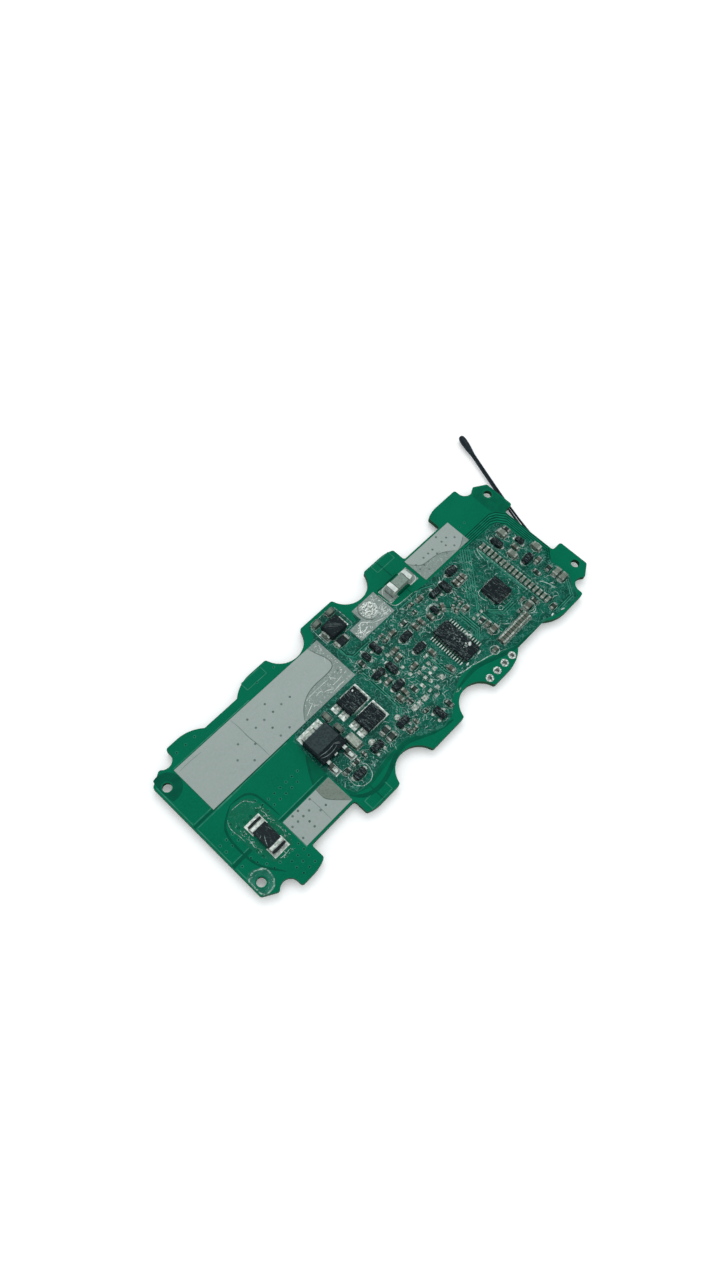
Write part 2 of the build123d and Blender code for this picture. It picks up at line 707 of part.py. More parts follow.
with BuildPart() as switch_transistor_leads:
    switch_lead = bent_lead(
        SWITCH_LEAD_REACH,
        SWITCH_LEAD_FOOT,
        SWITCH_LEAD_RISE,
        SWITCH_METAL,
        SWITCH_LEAD_WIDTH,
        SWITCH_LEAD_SHOULDER,
    )
    front = SWITCH_Y - SWITCH_LENGTH / 2
    with Locations((SWITCH_X, front, LAND_TOP)):
        with GridLocations(SWITCH_LEAD_PITCH, 0, 2, 1):
            with Locations(Location((0, 0, 0), (0, 0, -90))):
                add(switch_lead)
    with Locations((SWITCH_X, front, LAND_TOP + SWITCH_LEAD_RISE - SWITCH_METAL / 2)):
        Box(SWITCH_LEAD_WIDTH, SWITCH_STUB, SWITCH_METAL, align=MINUS_Y)
write(switch_transistor_leads, "switch_transistor_leads")


# Power transistors: a body with its drain tab on one side and four leads on the other
def power_transistor(row, name):
    """Write the body and the metal of the power transistor in this row."""
    length, width, height = MOSFET_BODY
    with BuildPart() as metal:
        with Locations((MOSFET_X + length / 2 + MOSFET_DRAIN_REACH, row, LAND_TOP)):
            Box(
                MOSFET_DRAIN_REACH + MOSFET_DRAIN_GRIP,
                MOSFET_DRAIN_WIDTH,
                MOSFET_METAL,
                align=MINUS_X,
            )
        with Locations((MOSFET_X - length / 2, row, LAND_TOP)):
            with GridLocations(0, MOSFET_LEAD_PITCH, 1, 4):
                Box(MOSFET_LEAD_REACH, MOSFET_LEAD_WIDTH, MOSFET_METAL, align=MINUS_X)
    with BuildPart() as body:
        with BuildSketch(Plane.XY.offset(LAND_TOP)):
            with Locations((MOSFET_X, row)):
                Rectangle(length, width)
        extrude(amount=MOSFET_METAL)
        with BuildSketch(Plane.XY.offset(LAND_TOP + MOSFET_METAL)):
            with Locations((MOSFET_X, row)):
                Rectangle(length, width)
        extrude(amount=height - MOSFET_METAL, taper=MOULD_TAPER)
        add(metal.part, mode=Mode.SUBTRACT)
    write(body, f"{name}_body")
    write(metal, f"{name}_leads")


power_transistor(CHARGE_MOSFET_Y, "charge_mosfet")
power_transistor(DISCHARGE_MOSFET_Y, "discharge_mosfet")

# Monitor chip
with BuildPart() as monitor_chip_body:
    with Locations((MONITOR_X, MONITOR_Y, TOP)):
        add(moulded_body(*MONITOR_BODY, MONITOR_LIFT))
write(monitor_chip_body, "monitor_chip_body")

with BuildPart() as monitor_chip_leads:
    monitor_lead = bent_lead(
        MONITOR_LEAD_REACH,
        MONITOR_LEAD_FOOT,
        parting_rise(MONITOR_BODY[2], MONITOR_LIFT),
        MONITOR_METAL,
        MONITOR_LEAD_WIDTH,
    )
    with Locations((MONITOR_X, MONITOR_Y, TOP)):
        with GridLocations(0, MONITOR_PITCH, 1, MONITOR_SIDE_LEADS):
            with PolarLocations(MONITOR_BODY[0] / 2, 2):
                add(monitor_lead)
write(monitor_chip_leads, "monitor_chip_leads")

# Controller chip
with BuildPart() as controller_chip_body:
    with Locations((CONTROLLER_X, CONTROLLER_Y, TOP)):
        Box(CONTROLLER_SIDE, CONTROLLER_SIDE, CONTROLLER_HEIGHT, align=SEATED)
write(controller_chip_body, "controller_chip_body")

with BuildPart() as controller_chip_contacts:
    width, reach, height = CONTROLLER_CONTACT
    with Locations((CONTROLLER_X, CONTROLLER_Y, TOP)):
        with PolarLocations(CONTROLLER_SIDE / 2, 4):
            with GridLocations(0, CONTROLLER_PITCH, 1, CONTROLLER_SIDE_CONTACTS):
                Box(reach, width, height, align=PLUS_X)
write(controller_chip_contacts, "controller_chip_contacts")

# Small transistors
with BuildPart() as small_transistor_bodies:
    with Locations(*on_board(TRANSISTOR_PLACES)):
        add(moulded_body(*TRANSISTOR_BODY, SMALL_METAL))
write(small_transistor_bodies, "small_transistor_bodies")

with BuildPart() as small_transistor_leads:
    lead = bent_lead(
        SMALL_LEAD_REACH,
        SMALL_LEAD_FOOT,
        parting_rise(TRANSISTOR_BODY[2], SMALL_METAL),
        SMALL_METAL,
        TRANSISTOR_LEAD_WIDTH,
    )
    half = TRANSISTOR_BODY[1] / 2
    with Locations(*on_board(TRANSISTOR_PLACES)):
        with Locations(
            Location((0, half, 0), (0, 0, 90)),
            Location((-TRANSISTOR_PAIR / 2, -half, 0), (0, 0, -90)),
            Location((TRANSISTOR_PAIR / 2, -half, 0), (0, 0, -90)),
        ):
            add(lead)
write(small_transistor_leads, "small_transistor_leads")

# Signal diodes, in two sizes
with BuildPart() as signal_diode_bodies:
    for places, size in ((DIODE_PLACES, DIODE_BODY), (SMALL_DIODE_PLACES, SMALL_DIODE_BODY)):
        with Locations(*on_board(places)):
            add(moulded_body(*size, SMALL_METAL))
write(signal_diode_bodies, "signal_diode_bodies")

with BuildPart() as signal_diode_leads:
    for places, size in ((DIODE_PLACES, DIODE_BODY), (SMALL_DIODE_PLACES, SMALL_DIODE_BODY)):
        lead = bent_lead(
            SMALL_LEAD_REACH,
            SMALL_LEAD_FOOT,
            parting_rise(size[2], SMALL_METAL),
            SMALL_METAL,
            DIODE_LEAD_WIDTH,
        )
        with Locations(*on_board(places)):
            with PolarLocations(size[0] / 2, 2):
                add(lead)
write(signal_diode_leads, "signal_diode_leads")


# Chip parts, each a block between two tinned ends
def chips(kinds, name, metal):
    """Write the blocks and the tinned ends of these chips: for each kind its places and size."""
    with BuildPart() as bodies:
        for places, (length, width, height, end) in kinds:
            with Locations(*on_board(places, TOP + CHIP_TIN)):
                Box(
                    length - 2 * end, width - 2 * CHIP_TIN, height - 2 * CHIP_TIN, align=SEATED
                )
    with BuildPart() as ends:
        for places, (length, width, height, end) in kinds:
            with Locations(*on_board(places)):
                with GridLocations(length - end, 0, 2, 1):
                    Box(end, width, height, align=SEATED)
    write(bodies, name)
    write(ends, metal)


column = [(COLUMN_X, COLUMN_FIRST_Y - i * COLUMN_PITCH, 0) for i in range(COLUMN_COUNT)]
row = [(ROW_FIRST_X + i * ROW_PITCH, ROW_Y, 90) for i in range(ROW_COUNT)]
chips([(column, MIDDLE_RESISTOR)], "resistor_column_bodies", "resistor_column_ends")
chips([(row, MIDDLE_CAPACITOR)], "capacitor_row_bodies", "capacitor_row_ends")
chips([(BLEED_PLACES, LONG_RESISTOR)], "bleed_resistor_body", "bleed_resistor_ends")
chips([(BULK_PLACES, TALL_CAPACITOR)], "bulk_capacitor_body", "bulk_capacitor_ends")
chips(
    [(SNUBBER_PLACES, SNUBBER_CAPACITOR)], "snubber_capacitor_bodies", "snubber_capacitor_ends"
)
chips([(FILTER_PLACES, FILTER_CAPACITOR)], "filter_capacitor_bodies", "filter_capacitor_ends")
chips(
    [
        (SMALL_RESISTOR_PLACES, SMALL_RESISTOR),
        (MIDDLE_RESISTOR_PLACES, MIDDLE_RESISTOR),
        (LARGE_RESISTOR_PLACES, LARGE_RESISTOR),
    ],
    "chip_resistor_bodies",
    "chip_resistor_ends",
)
chips(
    [
        (SMALL_CAPACITOR_PLACES, SMALL_CAPACITOR),
        (MIDDLE_CAPACITOR_PLACES, MIDDLE_CAPACITOR),
        (LARGE_CAPACITOR_PLACES, FILTER_CAPACITOR),
    ],
    "chip_capacitor_bodies",
    "chip_capacitor_ends",
)


# Thermistor
def lead_radii(route):
    """The largest arc for each bend of a route: 0.45 of its shorter run."""
    points = [Vector(*point) for point in route]
    radii = []
    for before, here, after in zip(points, points[1:], points[2:]):
        turn = math.radians((here - before).get_angle(after - here))
        shorter = min((here - before).length, (after - here).length)
        radii.append(0.45 * shorter / math.tan(turn / 2))
    return radii


def thermistor_lead(route, name):
    """Write one stiff wire along its route."""
    start, second = Vector(*route[0]), Vector(*route[1])
    with BuildPart() as wire:
        with BuildLine() as path:
            FilletPolyline(*route, radius=lead_radii(route))
        with BuildSketch(Plane(origin=start, z_dir=second - start)):
            Circle(LEAD_DIAMETER / 2)
        sweep(path=path.line)
    section = math.pi * LEAD_DIAMETER**2 / 4
    length = path.wire().length
    print(name, "radii", [round(radius) for radius in lead_radii(route)])
    print(name, "length", round(length, 2), "mm")
    print(name, "volume over section times length", round(wire.part.volume / section / length, 4))
    write(wire, name)


thermistor_lead(LEAD_A_ROUTE, "thermistor_lead_a")
thermistor_lead(LEAD_B_ROUTE, "thermistor_lead_b")

# The solder joint in which each lead ends, cut square where the lead comes out
with BuildPart() as thermistor_joints:
    for route in (LEAD_A_ROUTE, LEAD_B_ROUTE):
        start, second = Vector(*route[0]), Vector(*route[1])
        heading = math.degrees(math.atan2(second.Y - start.Y, second.X - start.X))
        middle = start - (second - start).normalized() * JOINT_LENGTH * 0.4
        with BuildSketch(Plane.XY.offset(STANDOFF)):
            with Locations(Location((middle.X, middle.Y), heading)):
                SlotOverall(JOINT_LENGTH, JOINT_WIDTH)
        extrude(amount=-STANDOFF, taper=JOINT_TAPER)
        with Locations(Plane(origin=start, z_dir=second - start)):
            Box(
                2 * JOINT_WIDTH, 2 * JOINT_WIDTH, JOINT_LENGTH, align=SEATED, mode=Mode.SUBTRACT
            )
write(thermistor_joints, "thermistor_joints")

# The bead, a drop of resin round both leads' ends
bead_base = (Vector(*LEAD_A_ROUTE[-1]) + Vector(*LEAD_B_ROUTE[-1])) / 2
bead_before = (Vector(*LEAD_A_ROUTE[-2]) + Vector(*LEAD_B_ROUTE[-2])) / 2
bead_way = (bead_base - bead_before).normalized()
with BuildPart() as thermistor_bead:
    with BuildSketch(Plane(origin=bead_base, x_dir=bead_way, z_dir=bead_way.cross(Vector(0, 0, 1)))):
        with BuildLine():
            rings = [(BEAD_LENGTH * on, BEAD_DIAMETER / 2 * out) for on, out in BEAD_RINGS]
            Polyline((0, 0), (0, BEAD_NECK / 2), *rings, (BEAD_LENGTH, 0), close=True)
        make_face()
    revolve(axis=Axis(bead_base, bead_way))
write(thermistor_bead, "thermistor_bead")
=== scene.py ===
# %% [markdown]
# # A battery management board, dressed
# The board comes from a tool battery. Tinned pads take the cell straps, small parts
# crowd the right half under a clear protective resin, and a thermistor bead stands off
# the end on two stiff wires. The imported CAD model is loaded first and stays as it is.
# This lesson gives each of its surfaces a finish and adds what CAD leaves out: solder,
# tracks, vias, printed marks and the resin itself. Drawing sizes are in millimetres
# and are turned into metres by one factor.

# %% Load the frame
import json
import math
import random

import bpy
import numpy as np
from mathutils import Matrix, Vector


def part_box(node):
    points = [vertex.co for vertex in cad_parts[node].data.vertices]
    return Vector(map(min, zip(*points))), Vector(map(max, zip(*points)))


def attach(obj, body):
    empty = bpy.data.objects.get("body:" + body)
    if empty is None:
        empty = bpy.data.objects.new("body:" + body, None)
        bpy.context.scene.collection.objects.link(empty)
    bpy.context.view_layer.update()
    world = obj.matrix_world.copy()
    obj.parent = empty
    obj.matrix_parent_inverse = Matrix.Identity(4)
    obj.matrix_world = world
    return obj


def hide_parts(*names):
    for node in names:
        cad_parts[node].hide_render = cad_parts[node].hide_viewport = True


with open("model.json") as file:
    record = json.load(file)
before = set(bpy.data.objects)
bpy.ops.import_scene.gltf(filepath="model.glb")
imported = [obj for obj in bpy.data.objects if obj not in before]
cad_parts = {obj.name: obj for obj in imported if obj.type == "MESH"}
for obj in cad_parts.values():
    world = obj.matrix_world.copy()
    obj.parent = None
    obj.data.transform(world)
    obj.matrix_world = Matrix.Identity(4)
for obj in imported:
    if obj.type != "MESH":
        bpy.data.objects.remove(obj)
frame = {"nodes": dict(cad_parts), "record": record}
bpy.ops.object.select_all(action="DESELECT")
MM = 0.001
scene = bpy.context.scene
scene.view_settings.view_transform = "Standard"
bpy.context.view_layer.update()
BOARD_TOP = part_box("circuit_board")[1].z / MM
LAND_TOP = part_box("main_bus_pad")[1].z / MM
print("nodes", len(frame["nodes"]), "board top", round(BOARD_TOP, 3), "land top", round(LAND_TOP, 3))

# %% [markdown]
# ## The camera
# The photograph looks steeply down on the board, turned so that its long side climbs to
# the right. The camera's place and its three axes were worked out from the four corner
# holes and the outline, so they are written as plain numbers. A lens of 26 mm on the
# tall frame gives the photograph's field of view.

# %% Camera
camera_data = bpy.data.cameras.new("view_camera")
camera_data.lens = 25.99
camera_data.sensor_width = 36
camera_data.clip_start = 0.01
camera_data.shift_x, camera_data.shift_y = -0.0004, 0.0004
camera = bpy.data.objects.new("view_camera", camera_data)
scene.collection.objects.link(camera)
right = Vector((0.68020601, -0.72839991, 0.08217887))
up = Vector((0.63460251, 0.64127741, 0.43132695))
back = Vector((-0.36687796, -0.24124026, 0.89844516))
pose = Matrix((right, up, back)).transposed().to_4x4()
pose.translation = Vector((-72.649, -39.780, 181.022)) * MM
camera.matrix_world = pose
scene.camera = camera
print("camera height", round(camera.location.z / MM, 1), "mm")

# %% [markdown]
# ## The thermistor's wires
# Two stiff enamelled wires leave their solder joints under the end of the board and run side by side to the
# bead. A wire is best drawn as one smooth curve with a round bevel, so each is a NURBS line along the CAD
# model's route, with its points moved a little to follow the photograph. The bevel is 1 and each point
# carries the real radius, so that the curve's own box is the right size too. The order is set after the
# points, since an earlier setting would leave straight runs.

# %% Thermistor wires
WIRE = 0.5
WIRE_ROUTES = {
    "thermistor_wire_a": (
        (48.57, -6.58, 0.5), (50.05, 0.47, 0.5), (52.12, 7.53, 0.5),
        (53.80, 12.88, 0.6), (57.255, 23.21, 0.95),
    ),
    "thermistor_wire_b": (
        (47.43, -6.22, 0.5), (49.30, 0.73, 0.5), (51.54, 7.73, 0.5),
        (53.27, 13.06, 0.6), (56.725, 23.39, 0.95),
    ),
}


def wire_curve(name, route):
    """A round wire along a route, as one smooth open curve."""
    curve = bpy.data.curves.new(name, "CURVE")
    curve.dimensions = "3D"
    curve.bevel_depth = 1.0
    curve.bevel_resolution = 4
    curve.resolution_u = 10
    curve.use_fill_caps = True
    line = curve.splines.new("NURBS")
    line.points.add(len(route) - 1)
    for point, (x, y, z) in zip(line.points, route):
        point.co = (x * MM, y * MM, z * MM, 1)
        point.radius = WIRE * MM / 2
    line.order_u = 3
    line.use_endpoint_u = True
    wire = bpy.data.objects.new(name, curve)
    scene.collection.objects.link(wire)
    return wire


wires = {name: wire_curve(name, route) for name, route in WIRE_ROUTES.items()}
print("wires", sorted(wires))

# %% [markdown]
# ## Small helpers for modelling
# Everything new is made by hand operators, so three habits help. Nothing may stay
# selected from the step before, a piece is named as soon as it is made, and a finished
# piece keeps its place in its mesh, with its object at the origin.

# %% Modelling helpers
pieces = []
looks = {}


def rest():
    """Leave edit mode and drop every selection."""
    if bpy.context.object and bpy.context.object.mode != "OBJECT":
        bpy.ops.object.mode_set(mode="OBJECT")
    bpy.ops.object.select_all(action="DESELECT")


def settle(name, slot, look=None, sharp=None):
    """Name the active piece, bring its place into its mesh and let it ride on the board.

    The slot is the record's finish that the piece belongs to, and the look is the
    material it wears here, where that differs."""
    piece = bpy.context.object
    if piece.mode != "OBJECT":
        bpy.ops.object.mode_set(mode="OBJECT")
    piece.name = piece.data.name = name
    bpy.ops.object.transform_apply(location=True, rotation=True, scale=True)
    if sharp is not None:
        bpy.ops.object.shade_smooth_by_angle(angle=math.radians(sharp))
    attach(piece, "root")
    looks[name] = look or slot
    pieces.append(piece)
    piece.select_set(False)
    return piece


def apply_all(piece):
    """Apply the piece's modifiers in order."""
    bpy.context.view_layer.objects.active = piece
    for modifier in list(piece.modifiers):
        bpy.ops.object.modifier_apply(modifier=modifier.name)


def edit_all():
    """Enter edit mode with the whole mesh selected."""
    bpy.ops.object.mode_set(mode="EDIT")
    bpy.ops.mesh.select_all(action="SELECT")


def face_outwards():
    """Select the whole mesh in edit mode and turn its faces outwards."""
    bpy.ops.mesh.select_all(action="SELECT")
    bpy.ops.mesh.normals_make_consistent(inside=False)


print("modelling helpers ready")

# %% [markdown]
# ## The bead
# The thermistor itself is a drop of dark resin, slim where the wires enter and fullest
# near its tip. It starts as a circle across the wires, extruded along them and resized
# ring by ring, and a subdivision surface rounds it like a dipped drop.

# %% Bead
bead_base, bead_before = (
    sum((Vector(route[k]) for route in WIRE_ROUTES.values()), Vector()) / 2 for k in (-1, -2)
)
bead_way = (bead_base - bead_before).normalized()
bead_at, bead_radius = -0.35, 0.3
BEAD_RINGS = ((-0.25, 0.52), (0.5, 0.57), (1.5, 0.7), (2.8, 0.83), (4.3, 0.9), (5.4, 0.82), (5.95, 0.48))

rest()
bpy.ops.mesh.primitive_circle_add(
    vertices=16, radius=bead_radius * MM, fill_type="TRIFAN",
    rotation=bead_way.to_track_quat("Z", "Y").to_euler(), location=(bead_base + bead_way * bead_at) * MM,
)
edit_all()
for at, radius in BEAD_RINGS:
    bpy.ops.mesh.extrude_region_move(TRANSFORM_OT_translate={"value": bead_way * (at - bead_at) * MM})
    grow = radius / bead_radius
    bpy.ops.transform.resize(value=(grow, grow, grow), center_override=(bead_base + bead_way * at) * MM)
    bead_at, bead_radius = at, radius
face_outwards()
bpy.ops.object.mode_set(mode="OBJECT")
bead = bpy.context.object
rounding = bead.modifiers.new("round", "SUBSURF")
rounding.levels = rounding.render_levels = 2
apply_all(bead)
bead = settle("bead_drop", "dark_resin", sharp=80)
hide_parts("thermistor_bead")
print("bead faces", len(bead.data.polygons))

for (name, wire), node in zip(sorted(wires.items()), ("thermistor_lead_a", "thermistor_lead_b")):
    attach(wire, "root")
    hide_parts(node)
print("wires declared", len(wires))

# %% [markdown]
# ### Plates and ridges
# Nearly all that CAD leaves out here is thin, so two helpers draw most of it. A plate is
# a filled flat curve with a little height. A ridge is a round line that is pressed flat,
# and each of its points may carry its own width and lift. Both are curves first, because
# a curve stays smooth between few points, and both become meshes at once.

# %% Flat plates
def as_mesh(curve, height=0.0):
    """Put a curve in the scene at this height and convert it, with its walls welded.

    The mesh is left in edit mode, all selected."""
    rest()
    piece = bpy.data.objects.new(curve.name, curve)
    scene.collection.objects.link(piece)
    piece.location.z = height * MM
    piece.select_set(True)
    bpy.context.view_layer.objects.active = piece
    bpy.ops.object.convert(target="MESH")
    edit_all()
    bpy.ops.mesh.remove_doubles(threshold=0.002 * MM)
    bpy.ops.mesh.normals_make_consistent(inside=False)


def plates(name, slot, look, outlines, level, rise, sink=0.02, smooth=True):
    """Thin plates with these outlines, from sink below a level to rise above it.

    An outline inside another one is a hole."""
    low, high = level - sink, level + rise
    curve = bpy.data.curves.new(name, "CURVE")
    curve.dimensions, curve.fill_mode = "2D", "BOTH"
    curve.extrude = (high - low) * MM / 2
    curve.resolution_u = 5
    for outline in outlines:
        line = curve.splines.new("NURBS" if smooth else "POLY")
        line.points.add(len(outline) - 1)
        for point, (x, y) in zip(line.points, outline):
            point.co = (x * MM, y * MM, 0, 1)
        line.use_cyclic_u = True
        if smooth:
            line.order_u = 3
    as_mesh(curve, (low + high) / 2)
    return settle(name, slot, look, sharp=30)


print("plate helper ready")

# %% Pressed ridges
def strokes(name, slot, look, lines, level, width, height, closed=False, fine=1.0, steps=3):
    """Round ridges along lines, flattened to this height above the level they lie on.

    A point is x, y and, where it has them, its share of the width and its lift. The ends
    of an open line are as thin as the share that fine gives."""
    curve = bpy.data.curves.new(name, "CURVE")
    curve.dimensions = "3D"
    curve.bevel_depth = width * MM / 2
    curve.bevel_resolution = 1
    curve.resolution_u = steps
    curve.use_fill_caps = True
    for route in lines:
        line = curve.splines.new("NURBS")
        line.points.add(len(route) - 1)
        for k, (point, place) in enumerate(zip(line.points, route)):
            lift = place[3] * width / (2 * height) if len(place) > 3 else 0.0
            point.co = (place[0] * MM, place[1] * MM, lift * MM, 1)
            at_end = not closed and k in (0, len(route) - 1)
            point.radius = (place[2] if len(place) > 2 else 1.0) * (fine if at_end else 1.0)
        line.order_u = min(3, len(route))
        line.use_cyclic_u = closed
        line.use_endpoint_u = not closed
    as_mesh(curve)
    bpy.ops.transform.resize(value=(1, 1, 2 * height / width), center_override=(0, 0, 0))
    bpy.ops.transform.translate(value=(0, 0, level * MM))
    return settle(name, slot, look, sharp=50)


def on_lacquer(name, look, lines, width, height, rise=0.0, **shape):
    """Ridges on the board's green lacquer."""
    return strokes(name, "solder_mask", look, lines, BOARD_TOP + rise, width=width, height=height, **shape)


def on_tin(name, look, lines, width, height, rise=0.0, **shape):
    """Ridges on the tinned lands."""
    return strokes(name, "tin", look, lines, LAND_TOP + rise, width=width, height=height, **shape)


print("ridge helpers ready")

# %% Outlines
shaky = random.Random(5)


def box_outline(left, right, low, high):
    """The four corners of a rectangle."""
    return [(left, low), (right, low), (right, high), (left, high)]


def round_outline(x, y, radius, steps=16, wobble=0.0):
    """Points round a circle, each moved in or out by up to the wobble."""
    out = []
    for k in range(steps):
        angle = math.tau * k / steps
        reach = radius + wobble * shaky.uniform(-1, 1)
        out.append((x + reach * math.cos(angle), y + reach * math.sin(angle)))
    return out


def cornered(points):
    """Each point twice, so that a smooth line keeps its corners."""
    return [point for point in points for _ in range(2)]


print("a box has", len(box_outline(0, 1, 0, 1)), "corners")

# %% [markdown]
# ## What lies in the copper
# Under the lacquer the copper shows through. Gaps between two copper areas are darker
# lines, test frames and tracks are paler ones, and the many small vias that carry the
# current to the other side are dark dimples with a pale rim. All of them are only
# hundredths of a millimetre high, so they are thin plates and flattened ridges.

# %% Copper gaps
GAPS = [
    box_outline(-51.9, -46.9, 3.25, 3.75), box_outline(-46.8, -26.2, 3.2, 3.42),
    box_outline(-20.9, -6.3, 3.15, 3.42), box_outline(-51.9, -39.3, -7.75, -7.0),
    box_outline(-39.2, -26.2, -7.75, -7.2), box_outline(17.15, 17.4, 14.2, 19.2),
    box_outline(17.15, 17.4, 8.0, 9.6), box_outline(-21.85, -21.6, -19.1, -15.0),
    box_outline(3.9, 21.6, 6.65, 7.05), box_outline(-5.9, -5.45, 3.2, 11.4),
    box_outline(11.35, 11.6, 8.0, 14.2), box_outline(18.9, 20.9, -8.6, -1.2),
    box_outline(37.4, 46.4, 7.6, 8.4),
]
plates("copper_gaps", "solder_mask", "mask_dark", GAPS, BOARD_TOP, rise=0.012, smooth=False)
print("gaps", len(GAPS))

# %% Shaded and bare areas
BOARD_LEFT = -51.9
shaded = round_outline(-50.1, 13.2, 3.1, 28)
plates(
    "hole_shade", "solder_mask", "mask_dark",
    [[(x, y) for x, y in shaded if x > BOARD_LEFT], round_outline(-50.1, 13.25, 1.25, 16)],
    BOARD_TOP, rise=0.01,
)
plates(
    "bare_areas", "solder_mask", "mask_dim",
    [
        [(46.9, 15.1), (46.9, 9.6), (49.2, 7.0), (51.6, 7.7), (51.8, 14.7), (50.0, 15.9), (48.6, 16.2)],
        round_outline(50.1, 13.2, 1.35, 24),
        [(-26.1, -1.5), (-28.2, -4.6), (-29.5, -6.9), (-29.5, -7.1), (-26.1, -7.1)],
        [(-25.9, -14.0), (-22.0, -15.4), (-18.0, -14.9), (-13.0, -14.2), (-8.4, -14.4), (-9.2, -13.2),
         (-13.0, -12.7), (-17.0, -13.4), (-22.0, -14.8), (-25.9, -12.0)],
    ],
    BOARD_TOP, rise=0.008, smooth=False,
)
BANDS = [
    [(-26.0, -13.6), (-24.6, -15.8), (-21.0, -16.9), (-17.0, -16.2), (-13.0, -14.4), (-9.6, -14.2),
     (-6.0, -15.9), (-2.5, -17.5), (1.0, -18.0)],
    [(6.8, -14.2), (11.5, -13.5), (15.0, -13.9), (19.5, -15.8), (24.0, -17.0), (32.8, -17.1)],
    [(-29.6, -7.0), (-28.2, -4.6), (-26.2, -1.6)], [(3.6, 6.9), (12.0, 6.9), (21.6, 6.9)],
]
on_lacquer("dark_bands", "mask_dark", BANDS, width=0.95, height=0.03, fine=0.3)
print("bands", len(BANDS))

# %% Pale copper outlines
FRAMES = [
    box_outline(-24.6, -19.1, 17.0, 19.0), box_outline(-24.8, -19.0, -18.8, -16.6),
    box_outline(15.6, 21.2, 17.0, 19.0),
]
frame_lines = [cornered(outline) + outline[:1] for outline in FRAMES]
on_lacquer("test_frames", "mask_pale", frame_lines, width=0.14, height=0.02)
EDGE_LINES = [
    [(-51.65, 14.6), (-51.65, 4.0)], [(-51.65, 3.0), (-51.65, -6.8)], [(-51.65, -8.0), (-51.65, -14.8)],
    [(-51.4, 4.0), (-47.0, 4.0)], [(-51.4, 2.95), (-40, 2.95)], [(-51.4, -6.85), (-45.5, -6.85)],
    [(-46.7, 15.15), (-26, 15.15)], [(-46.8, 3.1), (-27, 3.1)], [(-39.5, -7.05), (-27, -7.05)],
    [(-39.3, -14.8), (-39.3, -8.0)], [(-20, 3.05), (-7, 3.05)],
    [(-25.8, 2.4), (-25.8, -5.5)], [(-25.7, -6.0), (-25.7, -9.0)],
]
on_lacquer("copper_edges", "mask_pale", EDGE_LINES, width=0.16, height=0.02)
print("pale lines", len(EDGE_LINES) + len(FRAMES))

# %% [markdown]
# ### Tracks
# A bundle of thin tracks leaves the controller, climbs past the resistors and runs
# round the end of the board. Each is a low ridge beside the last, about one pitch apart.

# %% Tracks
TRACK_PITCH = 0.56
TRACK_RUNS = (
    ([(25.2, -1.6), (33.6, 7.9)], 5, (0.74, -0.66)),
    ([(18.9, -10.4), (21.4, -8.0), (21.4, -1.4), (19.6, 0.2)], 3, (-1, 0.1)),
    ([(36.8, 5.2), (36.8, -14.0)], 1, (0, 0)),
    ([(36.4, 4.9), (36.4, -9.0)], 1, (0, 0)),
    ([(8.6, -12.0), (7.9, -9.6), (7.9, -5.0), (9.9, -3.2)], 2, (0.9, 0)),
    ([(26.0, -7.4), (28.4, -9.9), (31.8, -9.9)], 3, (0, 1)),
    ([(24.2, -12.1), (24.2, -5.2), (26.6, -2.6), (26.6, 1.4)], 2, (1, 0)),
    ([(38.0, -18.0), (43.0, -18.0), (44.4, -16.2), (45.9, -14.2)], 2, (-0.5, 0.8)),
    ([(-4.6, 2.8), (-4.6, -8.2), (-5.8, -9.6)], 2, (-0.9, 0)),
    ([(-4.2, 9.9), (-4.2, 7.6), (-3.2, 6.3), (2.2, 6.3), (3.2, 7.1)], 2, (-0.3, 0.9)),
    ([(22.0, 6.2), (19.4, 7.4), (12.4, 7.4)], 1, (0, 0)),
)
tracks = []
for route, count, (step_x, step_y) in TRACK_RUNS:
    for k in range(count):
        reach = k * TRACK_PITCH
        tracks.append(cornered((x + reach * step_x, y + reach * step_y) for x, y in route))
on_lacquer("tracks", "track", tracks, width=0.24, height=0.03, rise=0.04)
track_gaps = [[(x + 0.18, y + 0.2) for x, y in track] for track in tracks]
on_lacquer("track_gaps", "mask_deep_and_shade", track_gaps, width=0.26, height=0.02, rise=0.04)
print("tracks", len(tracks))

# %% Tracks round the end
END_TRACK = [(36.9, 9.35), (45.9, 9.35), (47.5, 8.6), (48.95, 6.6), (48.95, -6.0)]
END_TURN = [(48.9, -6.3), (46.4, -8.8), (42.0, -8.8)]
END_PITCH = 0.5
for name, look, first, count in (
    ("end_tracks", "track_green", END_PITCH / 2, 4), ("end_track_gaps", "mask_deep_and_shade", 0.0, 5),
):
    lines = []
    for k in range(count):
        inward = END_PITCH * k + first
        lines.append(cornered((x - inward, y - inward) for x, y in END_TRACK))
        lines.append(cornered((x - inward * 0.9, y + inward * 0.5) for x, y in END_TURN))
    on_lacquer(name, look, lines, width=0.25, height=0.03)
print("lines round the end", len(lines))

# %% [markdown]
# ### Vias
# One dimple is modelled with care and copied to every via. The rim is a disc that rises,
# narrows and sinks again. The plug in its middle is a second small shape, because it is
# darker.

# %% Discs and copies
def stepped_disc(sides, radius, steps, turn=0.0):
    """A disc at the origin that rises and narrows, step by step, as (shrink, lift)."""
    rest()
    bpy.ops.mesh.primitive_circle_add(
        vertices=sides, radius=radius * MM, fill_type="NGON", rotation=(0, 0, turn),
    )
    edit_all()
    for shrink, lift in steps:
        bpy.ops.mesh.extrude_region_move(TRANSFORM_OT_translate={"value": (0, 0, lift * MM)})
        bpy.ops.transform.resize(value=(shrink, shrink, 1), center_override=(0, 0, 0))
    face_outwards()
    bpy.ops.object.mode_set(mode="OBJECT")
    return bpy.context.object


